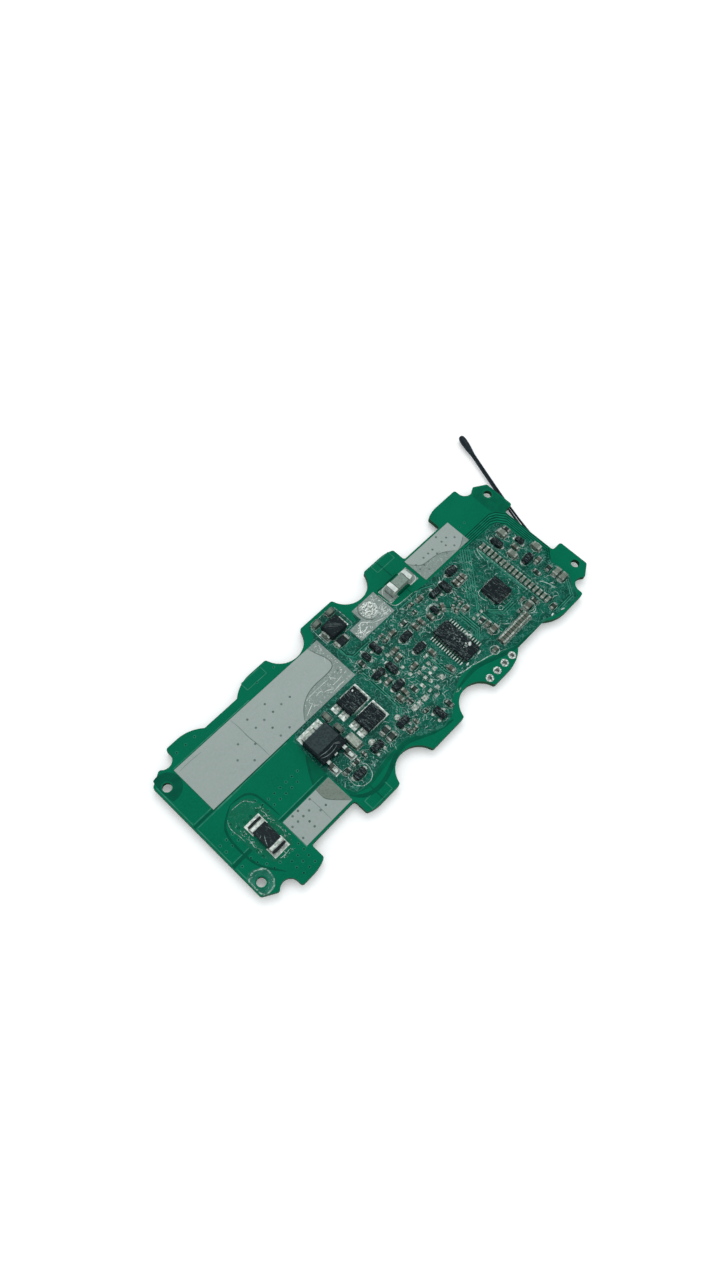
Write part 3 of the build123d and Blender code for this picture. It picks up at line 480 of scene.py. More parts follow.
def copies(name, slot, look, model, places):
    """Copy the model to every place, each copy with its own mesh, and join them.

    A place is a spot, a turn and a size."""
    rest()
    for spot, turn, size in places:
        copy = model.copy()
        copy.data = model.data.copy()
        copy.location = Vector(spot) * MM
        copy.rotation_euler = (0, 0, turn)
        copy.scale = size
        scene.collection.objects.link(copy)
        copy.select_set(True)
        bpy.context.view_layer.objects.active = copy
    bpy.data.objects.remove(model)
    bpy.ops.object.join()
    edit_all()
    face_outwards()
    return settle(name, slot, look, sharp=40)


print("disc and copy helpers ready")

# %% Vias
def via_model(radius, height, sink):
    """A low round rim round a sunk middle."""
    return stepped_disc(12, radius, ((0.82, height), (0.74, 0.0), (0.85, -sink)))


def alike(spots, level, size=(1, 1, 1)):
    """Places for copies that all stand alike at this level."""
    return [((x, y, level), 0, size) for x, y in spots]


VIA_ROWS = (
    (-2.65, [-50.8 + 1.62 * k for k in range(14)]),
    (-4.3, [-50.8 + 1.62 * k for k in range(14)]),
    (-8.5, (-50.6, -48.3, -46.5, -38.5)),
    (-10.0, (-48.0, -46.5, -40.8)),
    (-11.5, (-47.0, -45.5)),
    (-13.1, (-46.5, -45.0, -43.3, -41.7, -40.0)),
    (-14.6, (-43.3, -41.7, -40.0)),
    (-16.1, (-43.5, -41.8, -40.2)),
    (-17.8, (-43.3, -41.7, -40.2)),
    (17.2, (-44.0, -41.6, -39.2)),
    (-1.0, (-46.6, -39.9)),
    (11.9, (38.2, 39.9)),
    (16.9, (-22.0, -17.1)),
)
via_spots = [
    (x, y) for y, row in VIA_ROWS for x in row
    if not (-45.6 < x < -40.7 and -12.4 < y < -2.9) and not (-30.5 < x < -26 and y < -3)
]
PAD_VIAS = (
    (-36.6, 7.4), (-34.2, 9.8), (-34.2, 5.0), (-31.7, 7.4), (-29.2, 12.3), (-29.2, 9.8), (-26.8, 9.8),
    (-26.8, 7.4), (-26.8, 5.0), (-24.3, 12.2), (-24.3, 9.8), (-24.3, 5.0), (-21.9, 9.8), (-19.5, 9.7),
    (-8.1, 6.8), (-37.0, -8.5), (-35.5, -8.5), (-32.2, -8.5), (-37.0, -10.0), (-35.5, -10.0),
    (-33.9, -10.0), (-38.5, -10.0), (-35.4, -11.6), (-32.3, -11.6), (-30.8, -11.6), (-38.6, -13.0),
    (-35.4, -13.0), (23.2, 12.2), (25.9, 12.3), (27.5, 12.3), (29.0, 12.3), (32.1, 13.9), (32.1, 12.2),
    (33.7, 12.2), (26.0, 10.9), (32.1, 10.9), (35.2, 10.9), (24.6, 9.4), (30.7, 9.4), (29.0, 10.9),
    (23.1, 10.8), (24.6, 10.9), (33.5, 9.5),
)
copies("via_rims", "solder_mask", "mask_rim",
       via_model(0.31, height=0.02, sink=0.02), alike(via_spots, BOARD_TOP))
copies("via_plugs", "solder_mask", "mask_deep_and_shade",
       via_model(0.24, height=0.018, sink=0.006), alike(via_spots, BOARD_TOP))
copies("pad_via_rims", "tin", "pad_via",
       via_model(0.26, height=0.03, sink=0.008), alike(PAD_VIAS, LAND_TOP))
print("vias", len(via_spots) + len(PAD_VIAS))

# %% Scratches on the pads and the underside
on_tin("pad_scratches", "pad_scratch_and_shade", [
    [(-31.7, 14.6), (-31.5, 12.0), (-31.7, 9.5), (-31.3, 6.5), (-31.4, 3.7)],
    [(-32.1, -8.2), (-31.9, -11.0), (-32.1, -14.3)], [(23.0, 10.9), (26.5, 10.6), (30.0, 10.8)],
    [(-46.2, 13.9), (-43.0, 14.1), (-40.5, 13.8)],
], width=0.14, height=0.012, fine=0.4)
BOARD_THICKNESS = 1.2
BOARD_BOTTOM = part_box("main_bus_pad")[0].z / MM - BOARD_THICKNESS
under = alike((*via_spots, *PAD_VIAS), BOARD_BOTTOM, size=(1, 1, -1))
copies("underside_vias", "solder_mask", "mask_pale", via_model(0.33, height=0.02, sink=0.015), under)
print("underside at", round(BOARD_BOTTOM, 2))

# %% [markdown]
# ## Solder at the chips
# Every chip stands in two small fillets of solder that slope from its tinned end to its
# land. One fillet is drawn as a side view, given its width and softened. The places come
# from the CAD itself: the ends of each chip are read as separate islands, and a fillet
# looks away from the middle of its chip.

# %% Separate the solids of a node
def islands(name):
    """The separate solids of a node, each as the points of its mesh in millimetres."""
    mesh = frame["nodes"][name].data
    points = np.empty(len(mesh.vertices) * 3)
    mesh.vertices.foreach_get("co", points)
    points = points.reshape(-1, 3) / MM
    spots, index = np.unique(np.round(points, 3), axis=0, return_inverse=True)
    index = index.ravel()
    parent = list(range(len(spots)))

    def top(i):
        while parent[i] != i:
            parent[i] = parent[parent[i]]
            i = parent[i]
        return i

    for face in mesh.polygons:
        first, *others = (top(index[v]) for v in face.vertices)
        for other in others:
            parent[top(other)] = top(first)
    groups = {}
    for i in range(len(spots)):
        groups.setdefault(top(i), []).append(i)
    return [spots[members] for members in groups.values()]


def nearest(middles, centre):
    """The middle of the body that this end belongs to."""
    return min(middles, key=lambda middle: np.hypot(*(middle - centre)[:2]))


print("capacitors in the row", len(islands("capacitor_row_bodies")))

# %% Ends of the chips
CHIP_PAIRS = (
    ("bleed_resistor_body", "bleed_resistor_ends"), ("bulk_capacitor_body", "bulk_capacitor_ends"),
    ("snubber_capacitor_bodies", "snubber_capacitor_ends"),
    ("filter_capacitor_bodies", "filter_capacitor_ends"),
    ("resistor_column_bodies", "resistor_column_ends"), ("capacitor_row_bodies", "capacitor_row_ends"),
    ("chip_resistor_bodies", "chip_resistor_ends"), ("chip_capacitor_bodies", "chip_capacitor_ends"),
)
FILLET_REACH = 0.42
SNUBBER_SHARE = 0.4
fillet_places, chip_boxes = [], []
for body_name, end_name in CHIP_PAIRS:
    middles = [points.mean(axis=0) for points in islands(body_name)]
    for points in islands(end_name):
        centre = (points.min(axis=0) + points.max(axis=0)) / 2
        home = nearest(middles, centre)
        way = (centre - home)[:2]
        way /= np.hypot(*way)
        along = (points[:, :2] - centre[:2]) @ way
        across = (points[:, :2] - centre[:2]) @ np.array((-way[1], way[0]))
        tip = centre[:2] + way * along.max()
        width = across.max() - across.min()
        height = points[:, 2].max() - BOARD_TOP
        if body_name.startswith("snubber"):
            height *= SNUBBER_SHARE
        reach = min(FILLET_REACH, 0.22 + 0.2 * height)
        fillet_places.append((
            (tip[0], tip[1], BOARD_TOP), math.atan2(way[1], way[0]), (reach, width - 0.02, height * 0.62),
        ))
        chip_boxes.append((home[0], home[1], np.hypot(*(tip - home[:2])), width / 2, way))
print("chip ends", len(fillet_places))

# %% Tips of the leads
LEAD_PAIRS = (
    ("small_transistor_bodies", "small_transistor_leads"), ("signal_diode_bodies", "signal_diode_leads"),
)
LAND_LENGTH, LAND_MARGIN = 0.95, 0.32
land_places = []
for body_name, lead_name in LEAD_PAIRS:
    middles = [points.mean(axis=0) for points in islands(body_name)]
    for points in islands(lead_name):
        low, high = points.min(axis=0), points.max(axis=0)
        centre, size = (low + high) / 2, high - low
        home = nearest(middles, centre)
        axis = 0 if size[0] > size[1] else 1
        way = np.zeros(2)
        way[axis] = math.copysign(1, (centre - home)[axis])
        tip = centre[:2] + way * (size[axis] / 2 - 0.1)
        land_size = (LAND_LENGTH, size[1 - axis] + LAND_MARGIN, 1)
        land_places.append(((tip[0], tip[1], BOARD_TOP), math.atan2(way[1], way[0]), land_size))
land_places.append(((-14.75, -9.2, BOARD_TOP), math.pi / 2, (1.3, 1.6, 1.5)))
land_places.append(((-7.0, -9.3, BOARD_TOP), math.pi / 2, (1.2, 1.4, 1.5)))
print("lead ends", len(land_places))

# %% Tips of the long chip's leads
MONITOR_LAND = (0.85, 0.3, 0.9)
monitor_middle = sum(corner.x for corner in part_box("monitor_chip_body")) / MM / 2
monitor_lands = []
for points in islands("monitor_chip_leads"):
    x, y, _ = (points.min(axis=0) + points.max(axis=0)) / 2
    side = math.copysign(1, x - monitor_middle)
    tip = points[:, 0].max() if side > 0 else points[:, 0].min()
    monitor_lands.append(((tip + side * 0.1, y, BOARD_TOP), 0, MONITOR_LAND))
print("monitor leads", len(monitor_lands))

# %% Solder fillets
rest()
bpy.ops.mesh.primitive_plane_add(size=1 * MM)
bpy.ops.object.mode_set(mode="EDIT")
bpy.ops.mesh.merge(type="CENTER")
bpy.ops.transform.translate(value=(-0.25 * MM, -0.5 * MM, 0))
# Each step along the side view is (forward, up), in millimetres.
FILLET_SIDE = ((1.25, 0.0), (0.0, 0.1), (-0.45, 0.12), (-0.3, 0.3), (-0.2, 0.48), (-0.3, 0.0))
for across, lift in FILLET_SIDE:
    bpy.ops.mesh.extrude_vertices_move(TRANSFORM_OT_translate={"value": (across * MM, 0, lift * MM)})
bpy.ops.mesh.select_all(action="SELECT")
bpy.ops.mesh.edge_face_add()
bpy.ops.mesh.extrude_region_move(TRANSFORM_OT_translate={"value": (0, 1 * MM, 0)})
face_outwards()
bpy.ops.object.mode_set(mode="OBJECT")
softer = bpy.context.object.modifiers.new("soften", "BEVEL")
softer.width, softer.segments, softer.limit_method = 0.09 * MM, 1, "ANGLE"
apply_all(bpy.context.object)
copies("chip_fillets", "solder", "dull_solder", bpy.context.object, fillet_places)
print("fillet faces", len(pieces[-1].data.polygons))

# %% Lands of the leaded parts
# An eight-sided disc that is turned by half a side stands square to its lead.
HALF_SIDE = math.pi / 8
copies("lead_lands", "solder", "land_solder",
       stepped_disc(8, 0.54, ((0.98, 0.07), (0.8, 0.05), (0.5, 0.02)), turn=HALF_SIDE), land_places)
copies("monitor_lands", "solder", "bright_solder_and_highlight",
       stepped_disc(8, 0.5, ((1, 0.1), (0.75, 0.05)), turn=HALF_SIDE), monitor_lands)
print("lead lands", len(land_places), "monitor lands", len(monitor_lands))

# %% [markdown]
# ### Painted shade between neighbours
# The capacitors stand in a close row, and so do the leads of the long chip. The narrow gaps between them
# fall in shade, so a dark ridge goes into each gap as painted shade. The places of the gaps are worked out
# from the CAD solids on both sides.

# %% Painted shade between close neighbours
row = sorted(
    float(points[:, 0].min() + points[:, 0].max()) / 2 for points in islands("capacitor_row_bodies")
)
row_low, row_high = (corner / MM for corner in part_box("capacitor_row_ends"))
row_shade_lines = []
for left, right in zip(row, row[1:]):
    middle_x = (left + right) / 2
    row_shade_lines.append([(middle_x, row_low.y + 0.05), (middle_x, row_high.y - 0.05)])
strokes("row_gap_shade", "solder_mask", "mask_deep_and_shade", row_shade_lines, row_high.z - 0.05,
        width=0.26, height=0.05, fine=0.8)
slot_shade_lines = []
for side in (-1, 1):
    column = sorted((y, x) for (x, y, _), _, _ in monitor_lands if (x - monitor_middle) * side > 0)
    for (low_y, tip), (high_y, _) in zip(column, column[1:]):
        middle_y = (low_y + high_y) / 2
        slot_shade_lines.append([(tip - side * 1.0, middle_y), (tip + side * 0.3, middle_y)])
on_lacquer("lead_slot_shade", "mask_deep_and_shade", slot_shade_lines, width=0.24, height=0.05, rise=0.06, fine=0.8)
print("gaps in the row", len(row_shade_lines), "between leads", len(slot_shade_lines))

# %% [markdown]
# ## The protective resin
# A clear resin was brushed over the crowded half of the board, and it dried with a wrinkled, webbed skin.
# Its body is a thin film that follows the edge of the brushed area, with the parts standing through it. On
# the strap pads the same film greys the tin. Where it gathered, it left ridges: round the feet of the
# parts, between them, and along its own edge. The ridges are painted pale, partly for the dried resin's
# milky tone and partly as painted glints on their crests.

# %% The film on the board
FILM_EDGE = [
    (-9.0, 15.1), (-6.0, 15.4), (-5.5, 17.8), (-4.9, 18.4), (1.9, 18.4), (2.5, 17.7), (2.6, 12.6),
    (3.4, 11.9), (4.0, 14.5), (11.3, 14.5), (11.6, 9.8), (12.6, 8.2), (17.5, 7.9), (21.8, 7.5),
    (36.6, 7.3), (38.2, 7.0), (44.8, 7.0), (46.2, 6.0), (46.5, -1.2), (48.0, -2.4), (48.1, -5.6),
    (46.6, -7.4), (46.7, -13.8), (45.0, -15.8), (43.8, -18.7), (41.0, -18.9), (36.4, -18.2),
    (33.5, -16.8), (24.0, -16.6), (20.0, -15.1), (15.0, -12.9), (12.0, -12.7), (9.5, -12.6),
    (6.5, -13.9), (3.4, -15.2), (2.2, -17.2), (-1.5, -17.6), (-5.8, -16.2), (-8.0, -13.9),
    (-13.0, -13.0), (-18.0, -13.9), (-22.0, -14.9), (-24.6, -14.2), (-25.9, -11.8), (-26.1, -8.0),
    (-26.0, -1.5), (-25.9, 3.3), (-21.2, 3.4), (-20.0, 5.2), (-9.2, 7.0),
]
FILM_RISE = 0.04
plates("resin_film", "solder_mask", "resin_film", [FILM_EDGE], BOARD_TOP, rise=FILM_RISE, sink=0.05)
SHUNT_FILM = [
    (-45.0, 1.2), (-42.6, 1.4), (-40.4, 0.4), (-39.6, -1.6), (-39.4, -6.5), (-39.7, -10.5), (-41.0, -12.9),
    (-43.5, -13.4), (-45.7, -12.6), (-46.9, -9.6), (-47.4, -5.0), (-46.9, -1.2),
]
plates("shunt_film", "solder_mask", "thin_film", [SHUNT_FILM], BOARD_TOP, rise=0.02, sink=0.05)
hole_film = [(max(x, -51.85), y) for x, y in round_outline(-50.1, -13.0, 2.6, 14, 0.25)]
plates("hole_film", "solder_mask", "hole_film", [hole_film, round_outline(-50.1, -13.25, 1.3, 12)],
       BOARD_TOP, rise=0.02, sink=0.05)
print("film outline points", len(FILM_EDGE))

# %% The film on the strap pads
def tin_film(name, look, outlines, smooth=True):
    """A film of resin on the tinned lands."""
    return plates(name, "tin", look, outlines, LAND_TOP, rise=0.015, smooth=smooth)


PAD_FILMS = {
    "main_pad_film": [
        (-9.0, 14.8), (-8.6, 13.0), (-8.0, 11.5), (-7.6, 10.0), (-7.7, 8.8), (-8.5, 8.0), (-11.0, 7.8),
        (-14.0, 8.0), (-16.5, 7.5), (-18.5, 6.5), (-20.0, 5.2), (-21.0, 3.9), (-21.3, 3.5), (-21.3, 3.5),
        (-6.25, 3.5), (-6.25, 3.5), (-6.25, 14.8), (-6.25, 14.8), (-9.0, 14.8),
    ],
    "lower_pad_film": [
        (-29.9, -8.05), (-30.2, -10.0), (-29.5, -11.5), (-26.6, -14.4), (-26.4, -14.5), (-26.4, -14.5),
        (-26.4, -8.05), (-26.4, -8.05), (-29.9, -8.05),
    ],
    "middle_pad_film": [
        (0.65, 7.95), (0.65, 7.95), (11.15, 7.95), (11.15, 7.95), (11.15, 14.3), (11.15, 14.3),
        (4.3, 14.3), (4.3, 14.3), (4.3, 11.45), (4.3, 11.45), (0.65, 11.45), (0.65, 11.45),
    ],
    "upper_pad_film": [
        (22.05, 13.6), (22.9, 12.4), (23.6, 11.6), (24.6, 11.1), (27.3, 10.9), (29.0, 10.6), (30.6, 9.9),
        (31.7, 9.1), (32.6, 8.4), (33.4, 8.2), (34.2, 8.3), (35.3, 8.8), (37.0, 9.8), (37.0, 9.8),
        (37.0, 8.15), (37.0, 8.15), (22.05, 8.15), (22.05, 8.15), (22.05, 13.6),
    ],
}
for name, outline in PAD_FILMS.items():
    tin_film(name, "dotted_film" if name == "lower_pad_film" else "pad_film", [outline])
PAD_EDGES = [PAD_FILMS["main_pad_film"][:12], PAD_FILMS["lower_pad_film"][:4],
             PAD_FILMS["upper_pad_film"][:9], PAD_FILMS["upper_pad_film"][9:13]]
on_tin("pad_film_edges", "pad_scratch_and_shade", PAD_EDGES, width=0.2, height=0.05, fine=0.6)
print("pad films", len(PAD_FILMS))

# %% [markdown]
# ### Resin round the parts
# The resin climbed a little up every part and dried there as a collar, painted pale partly for the resin's
# milky tone and partly as a painted glint. A dark ring close round each chip is painted shade at its foot.
# The collars follow the chips and the bodies that the CAD gives, each a little uneven. Between the parts,
# short strands are scattered with a fixed seed, so each run gives the same ones.

# %% Collars
COLLAR_CORNERS = (
    (1, 0.55), (0.6, 1), (-0.6, 1), (-1, 0.55), (-1, -0.55), (-0.6, -1), (0.6, -1), (1, -0.55),
)


def collar(x, y, half_length, half_width, way, gap, wobble):
    """Eight uneven points round a rectangle that lies along this direction."""
    out = []
    for along, across in COLLAR_CORNERS:
        u = along * (half_length + gap) + shaky.uniform(-wobble, wobble)
        v = across * (half_width + gap) + shaky.uniform(-wobble, wobble)
        out.append((x + way[0] * u - way[1] * v, y + way[1] * u + way[0] * v, shaky.uniform(0.6, 1.3)))
    return out


BODIES = (
    "small_transistor_bodies", "signal_diode_bodies", "monitor_chip_body", "controller_chip_body",
    "charge_mosfet_body", "discharge_mosfet_body", "suppressor_diode_body",
)
body_boxes, body_tops = [], []
for name in BODIES:
    for points in islands(name):
        low, high = points.min(axis=0), points.max(axis=0)
        half = (high - low) / 2
        body_boxes.append((*(low + half)[:2], half[0], half[1], (1, 0)))
        body_tops.append(high[2])
one_per_chip = chip_boxes[::2]
collars = []
for x, y, half_length, half_width, way in one_per_chip + body_boxes:
    in_column = 35.8 < x < 39.8 and y > -15
    if not in_column:
        collars.append(collar(x, y, half_length, half_width, way, 0.36, 0.16))
# A dark ring close round each chip is painted shade at its foot.
shades = [collar(x, y, a, b, way, 0.16, 0.04) for x, y, a, b, way in one_per_chip]
on_lacquer("collar_shades", "mask_deep_and_shade", shades, width=0.2, height=0.08, rise=0.02, closed=True)
on_lacquer("resin_collars", "dim_ridge", collars, width=0.16, height=0.12, rise=FILM_RISE, closed=True)
print("collars", len(collars))

# %% Rims beside the resistor column
# The dark line along the column's left side is painted shade.
COLUMN_SHADE = [[(37.0, 5.5), (37.0, -14.4)]]
on_lacquer("column_shade", "mask_deep_and_shade", COLUMN_SHADE, width=0.34, height=0.06, rise=FILM_RISE)
COLUMN_RIMS = [
    [(36.6, 5.6), (36.55, 2.0), (36.65, -1.0), (36.55, -4.5), (36.7, -8.0), (36.6, -11.5), (36.7, -14.6)],
    [(39.6, 5.5), (39.7, 2.0), (39.6, -1.5), (39.7, -5.0), (39.6, -9.0), (39.7, -12.5)],
]
on_lacquer("column_rim", "dim_ridge", COLUMN_RIMS, width=0.17, height=0.09, rise=FILM_RISE, fine=0.8)
print("column rims", len(COLUMN_RIMS))

# %% Strands
STRANDS = 900
SCALLOPS = ((8.2, -20.35), (-12.0, -20.35))
big_bodies = [(x, y, max(a, b) + 0.1) for x, y, a, b, _ in body_boxes if max(a, b) > 1.6]


def kept_bare(x, y):
    """Whether no strand starts here, because of a large part, a pad or the film's edge.

    Past the long chip they are sparser, so there every other spot is left out by chance."""
    if (-25 < x < -5.5 and y > -8.6) or (y > 6.4 and not 3 < x < 30):
        return True
    if any(abs(x - a) < reach and abs(y - b) < reach for a, b, reach in big_bodies):
        return True
    if x > 46.2 or (x > 21 and y > 6.8) or min(math.hypot(x - a, y - b) for a, b in SCALLOPS) < 6:
        return True
    return (7.5 < x < 33 and y < -12.5) or (x > 19 and shaky.random() < 0.5) or (x < -5 and y < -13)


strands = []
while len(strands) < STRANDS:
    x, y = shaky.uniform(-25, 48.4), shaky.uniform(-16, 8)
    if kept_bare(x, y):
        continue
    heading, strand = shaky.uniform(0, math.tau), []
    for k in range(shaky.choice((3, 4, 5))):
        strand.append((x, y, shaky.uniform(0.5, 1.2)))
        heading += shaky.uniform(-0.9, 0.9)
        stride = shaky.uniform(0.22, 0.5)
        x, y = x + stride * math.cos(heading), y + stride * math.sin(heading)
    if x < 48.6 and y > -17:
        strands.append(strand)
on_lacquer("resin_strands", "resin_ridge", strands,
           width=0.13, height=0.06, rise=FILM_RISE, fine=0.4, steps=2)
print("strands", len(strands))

# %% [markdown]
# ### Ridges drawn from the photograph
# The largest ridges are drawn one by one, because the eye goes to them: the rim of the
# film, the ring round the diode by the lower tab, the ragged lines beside the shunt and
# the hooks by the resistor column.

# %% Ridges beside the shunt
SHUNT_RIDGES = [
    [(-44.5, 0.9), (-43.4, 0.8), (-42.0, 0.7), (-41.2, 0.3), (-40.9, -0.4), (-40.1, -1.3)],
    [(-46.4, 0.0), (-47.1, -1.0), (-47.2, -2.6), (-46.9, -4.0), (-46.9, -5.6)],
    [(-46.3, -5.2), (-46.0, -6.6), (-46.6, -7.4), (-45.9, -8.6)],
    [(-40.6, -3.2), (-40.1, -4.2), (-40.7, -5.2), (-40.2, -6.4)],
    [(-40.4, -7.3), (-40.0, -8.6), (-40.5, -9.9)],
]
print("ridges beside the shunt", len(SHUNT_RIDGES))

# %% Drawn ridges
RIDGES = [
    [(-40.9, -2.1), (-40.3, -2.7)],
    [(-49.1, -11.1), (-48.6, -11.3), (-48.2, -11.9)], [(-44.4, -12.6), (-43.2, -12.9), (-42.0, -12.6)],
    [(37.2, 5.6), (36.3, 5.2), (35.9, 3.8), (35.6, 2.0)],
    [(36.4, -1.9), (36.6, -3.0), (37.0, -4.0)],
    [(40.0, -9.9), (41.0, -10.9), (41.4, -12.4), (42.0, -14.4)],
    [(38.7, -15.4), (39.3, -14.9), (40.0, -15.1), (40.7, -15.6)],
    [(27.9, -5.3), (27.4, -4.2), (27.6, -2.6), (28.4, -2.1), (29.2, -2.2)],
    [(9.0, -11.8), (11.0, -12.5), (13.0, -12.8), (15.2, -12.9)],
    [(12.8, -12.6), (15.0, -13.4), (18.0, -14.0), (22.0, -15.7)],
    [(11.5, 13.2), (11.6, 10.2), (11.9, 8.8), (13.2, 8.1), (17.5, 8.1)],
    [(16.8, 6.4), (17.4, 7.1), (18.6, 7.6)], [(12.0, 7.4), (12.7, 7.0), (13.6, 6.7)],
    [(15.3, 1.9), (16.0, 3.0), (17.4, 3.5), (18.8, 3.0), (19.5, 1.9)],
    [(-5.2, 12.0), (-5.4, 14.5), (-5.0, 18.1)], [(-5.0, 18.2), (-1.5, 18.4), (1.9, 18.3)],
    [(2.2, 18.0), (2.5, 15.0), (2.3, 12.1)], [(2.2, 12.0), (-1.5, 11.8), (-5.0, 12.0)],
    [(12.6, 0.2), (11.9, -0.6), (13.0, -1.3)], [(19.0, 0.6), (20.2, -1.4), (21.2, -3.6)],
    [(31.9, -11.0), (31.7, -13.0), (32.6, -14.2), (34.4, -14.3), (34.9, -13.0)],
    [(25.6, -10.9), (26.6, -11.9), (27.7, -12.6)], [(34.6, 2.0), (34.9, 4.2), (35.9, 5.6)],
]
hole_ring = [(max(x, -51.7), y) for x, y in round_outline(-50.1, -13.2, 2.5, 16, 0.2)]
rings = [round_outline(-21.4, -12.1, 2.5, 18, 0.14),
         round_outline(28.7, -8.3, 0.55, 10, 0.05), round_outline(18.4, -7.4, 0.85, 10, 0.1)]
on_lacquer("resin_ridges", "pale_ridge", RIDGES, width=0.2, height=0.1, rise=0.01, fine=0.3)
on_lacquer("shunt_ridges", "resin_ridge", SHUNT_RIDGES, width=0.15, height=0.1, rise=0.01, fine=0.3)
on_lacquer("resin_rings", "resin_ridge", rings, width=0.2, height=0.09, rise=0.02, closed=True)
on_lacquer("hole_ring", "dim_ridge", [hole_ring], width=0.3, height=0.06, rise=0.02, closed=True)
print("drawn ridges", len(RIDGES) + len(rings))

# %% Ovals, the film's rim and the line round the shunt
OVALS = (
    (41.3, -1.5, 1.2, 12, 0.06), (46.9, -4.1, 1.25, 12, 0.06), (22.9, -2.9, 0.95, 10, 0.06),
    (43.9, 3.8, 1.25, 12, 0.06), (33.6, -12.3, 1.5, 12, 0.08), (19.7, -14.0, 1.1, 10, 0.06),
    (23.3, -10.6, 1.3, 12, 0.08), (17.3, 1.2, 1.9, 14, 0.1),
)
ovals = [round_outline(*oval) for oval in OVALS]
on_lacquer("resin_ovals", "pale_ridge", ovals, width=0.17, height=0.1, rise=0.03, closed=True)
rim_start, rim_end = FILM_EDGE.index((46.7, -13.8)), len(FILM_EDGE) - 7
film_rim = [FILM_EDGE[k:k + 3] for k in range(rim_start, rim_end, 2)]
on_lacquer("film_rim", "film_shade", film_rim, width=0.22, height=0.055)
SHUNT_LOOP = [
    [(-44.0, 1.8), (-46.8, 0.4), (-48.7, -2.0), (-48.9, -8.0), (-48.0, -11.5), (-46.5, -13.5),
     (-45.4, -15.2)],
    [(-44.0, 1.8), (-41.0, 1.7), (-39.5, 0.7), (-38.7, -1.2), (-38.6, -6.5)],
]
on_lacquer("shunt_loop", "mask_dark", SHUNT_LOOP, width=0.5, height=0.03, fine=0.3)
print("ovals", len(ovals), "rim strokes", len(film_rim))

# %% Flecks beside the shunt and the corner hole
flecks = []
for x, low, high, count, wide in (
    (-46.0, -9.5, -1.5, 34, 0.5), (-40.5, -10.5, -2.0, 34, 0.5), (-43.2, -13.2, -12.6, 12, 2.0),
):
    for _ in range(count):
        a, b = x + shaky.uniform(-wide, wide), shaky.uniform(low, high)
        flecks.append([(a, b), (a + shaky.uniform(-0.25, 0.25), b + shaky.uniform(-0.5, 0.5))])
HOLE_FLECKS = 26
for _ in range(HOLE_FLECKS):
    angle, reach = shaky.uniform(0, math.tau), shaky.uniform(1.5, 2.6)
    a, b = -50.1 + reach * math.cos(angle), -13.2 + reach * math.sin(angle)
    if a > -51.5:
        flecks.append([(a, b), (a + shaky.uniform(-0.25, 0.3), b + shaky.uniform(-0.3, 0.3))])
on_lacquer("resin_flecks", "resin_ridge", flecks, width=0.14, height=0.05, rise=0.02, fine=0.6)
print("flecks", len(flecks))

# %% [markdown]
# ## The mound of solder on the middle pad
# A strap was soldered here and taken off, which left a lumpy disc of solder. A sphere is
# cut off at its foot and pressed down to a low dome, and a cloud texture pushes it up
# and down. Real lumps catch the light from any side. The CAD dome is hidden behind it.

# %% Solder mound
MOUND_FLATNESS = 0.105
rest()
mound_low, mound_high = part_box("solder_mound")
mound_middle = (mound_low + mound_high) / 2
mound_foot = (mound_middle.x, mound_middle.y, mound_low.z)
bpy.ops.mesh.primitive_uv_sphere_add(segments=72, ring_count=48, radius=2.1 * MM, location=mound_foot)
edit_all()
bpy.ops.mesh.bisect(
    plane_co=(0, 0, mound_low.z - 0.02 * MM), plane_no=(0, 0, 1), clear_inner=True, use_fill=True,
)
bpy.ops.mesh.select_all(action="SELECT")
bpy.ops.transform.resize(value=(1, 1, MOUND_FLATNESS), center_override=mound_foot)
bpy.ops.object.mode_set(mode="OBJECT")
mound = bpy.context.object
clouds = bpy.data.textures.new("solder_lumps", "CLOUDS")
clouds.noise_scale, clouds.noise_depth = 0.27 * MM, 1
lumpy = mound.modifiers.new("lumps", "DISPLACE")
lumpy.texture, lumpy.strength, lumpy.mid_level = clouds, 0.3 * MM, 0.56
lumpy.direction, lumpy.texture_coords = "Z", "LOCAL"
apply_all(mound)
mound = settle("strap_solder", "solder", "white_solder", sharp=60)
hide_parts("solder_mound")
print("mound height", round((max(v.co.z for v in mound.data.vertices) - mound_low.z) / MM, 2), "mm")

# %% Wrinkles on the pads
WRINKLES = [
    [(1.6, 9.0), (2.2, 10.0), (3.6, 11.3), (4.6, 10.3), (5.6, 9.3)], [(5.6, 9.2), (7.0, 8.6), (8.4, 8.3)],
    [(0.9, 10.2), (1.8, 9.4), (2.9, 9.0), (4.2, 9.4)], [(1.2, 8.4), (2.6, 8.6), (3.9, 8.2)],
    [(8.6, 8.5), (9.3, 9.3), (9.9, 10.5)], [(8.4, 9.3), (9.2, 8.7), (10.4, 8.9)],
    [(9.0, 10.2), (9.8, 9.6), (10.6, 9.9)],
    [(-17.3, 6.7), (-14.5, 7.0), (-11.0, 6.8)], [(-13.6, 5.4), (-12.4, 5.0), (-11.8, 4.4)],
    [(-10.6, 7.1), (-10.2, 6.3), (-9.7, 5.9)], [(-17.4, 5.0), (-17.0, 4.4), (-16.4, 4.2)],
    [(-8.6, 9.9), (-8.2, 10.6), (-7.9, 10.9)], [(-7.3, 12.0), (-7.0, 13.0), (-6.7, 13.8)],
    [(-12.4, 4.0), (-10.4, 4.3), (-8.6, 4.2)], [(-10.9, 5.2), (-9.6, 5.1), (-8.4, 5.4)],
    [(-20.0, 4.2), (-18.6, 4.8), (-17.0, 5.4)], [(-15.6, 5.9), (-14.6, 6.2), (-13.8, 5.9)],
]
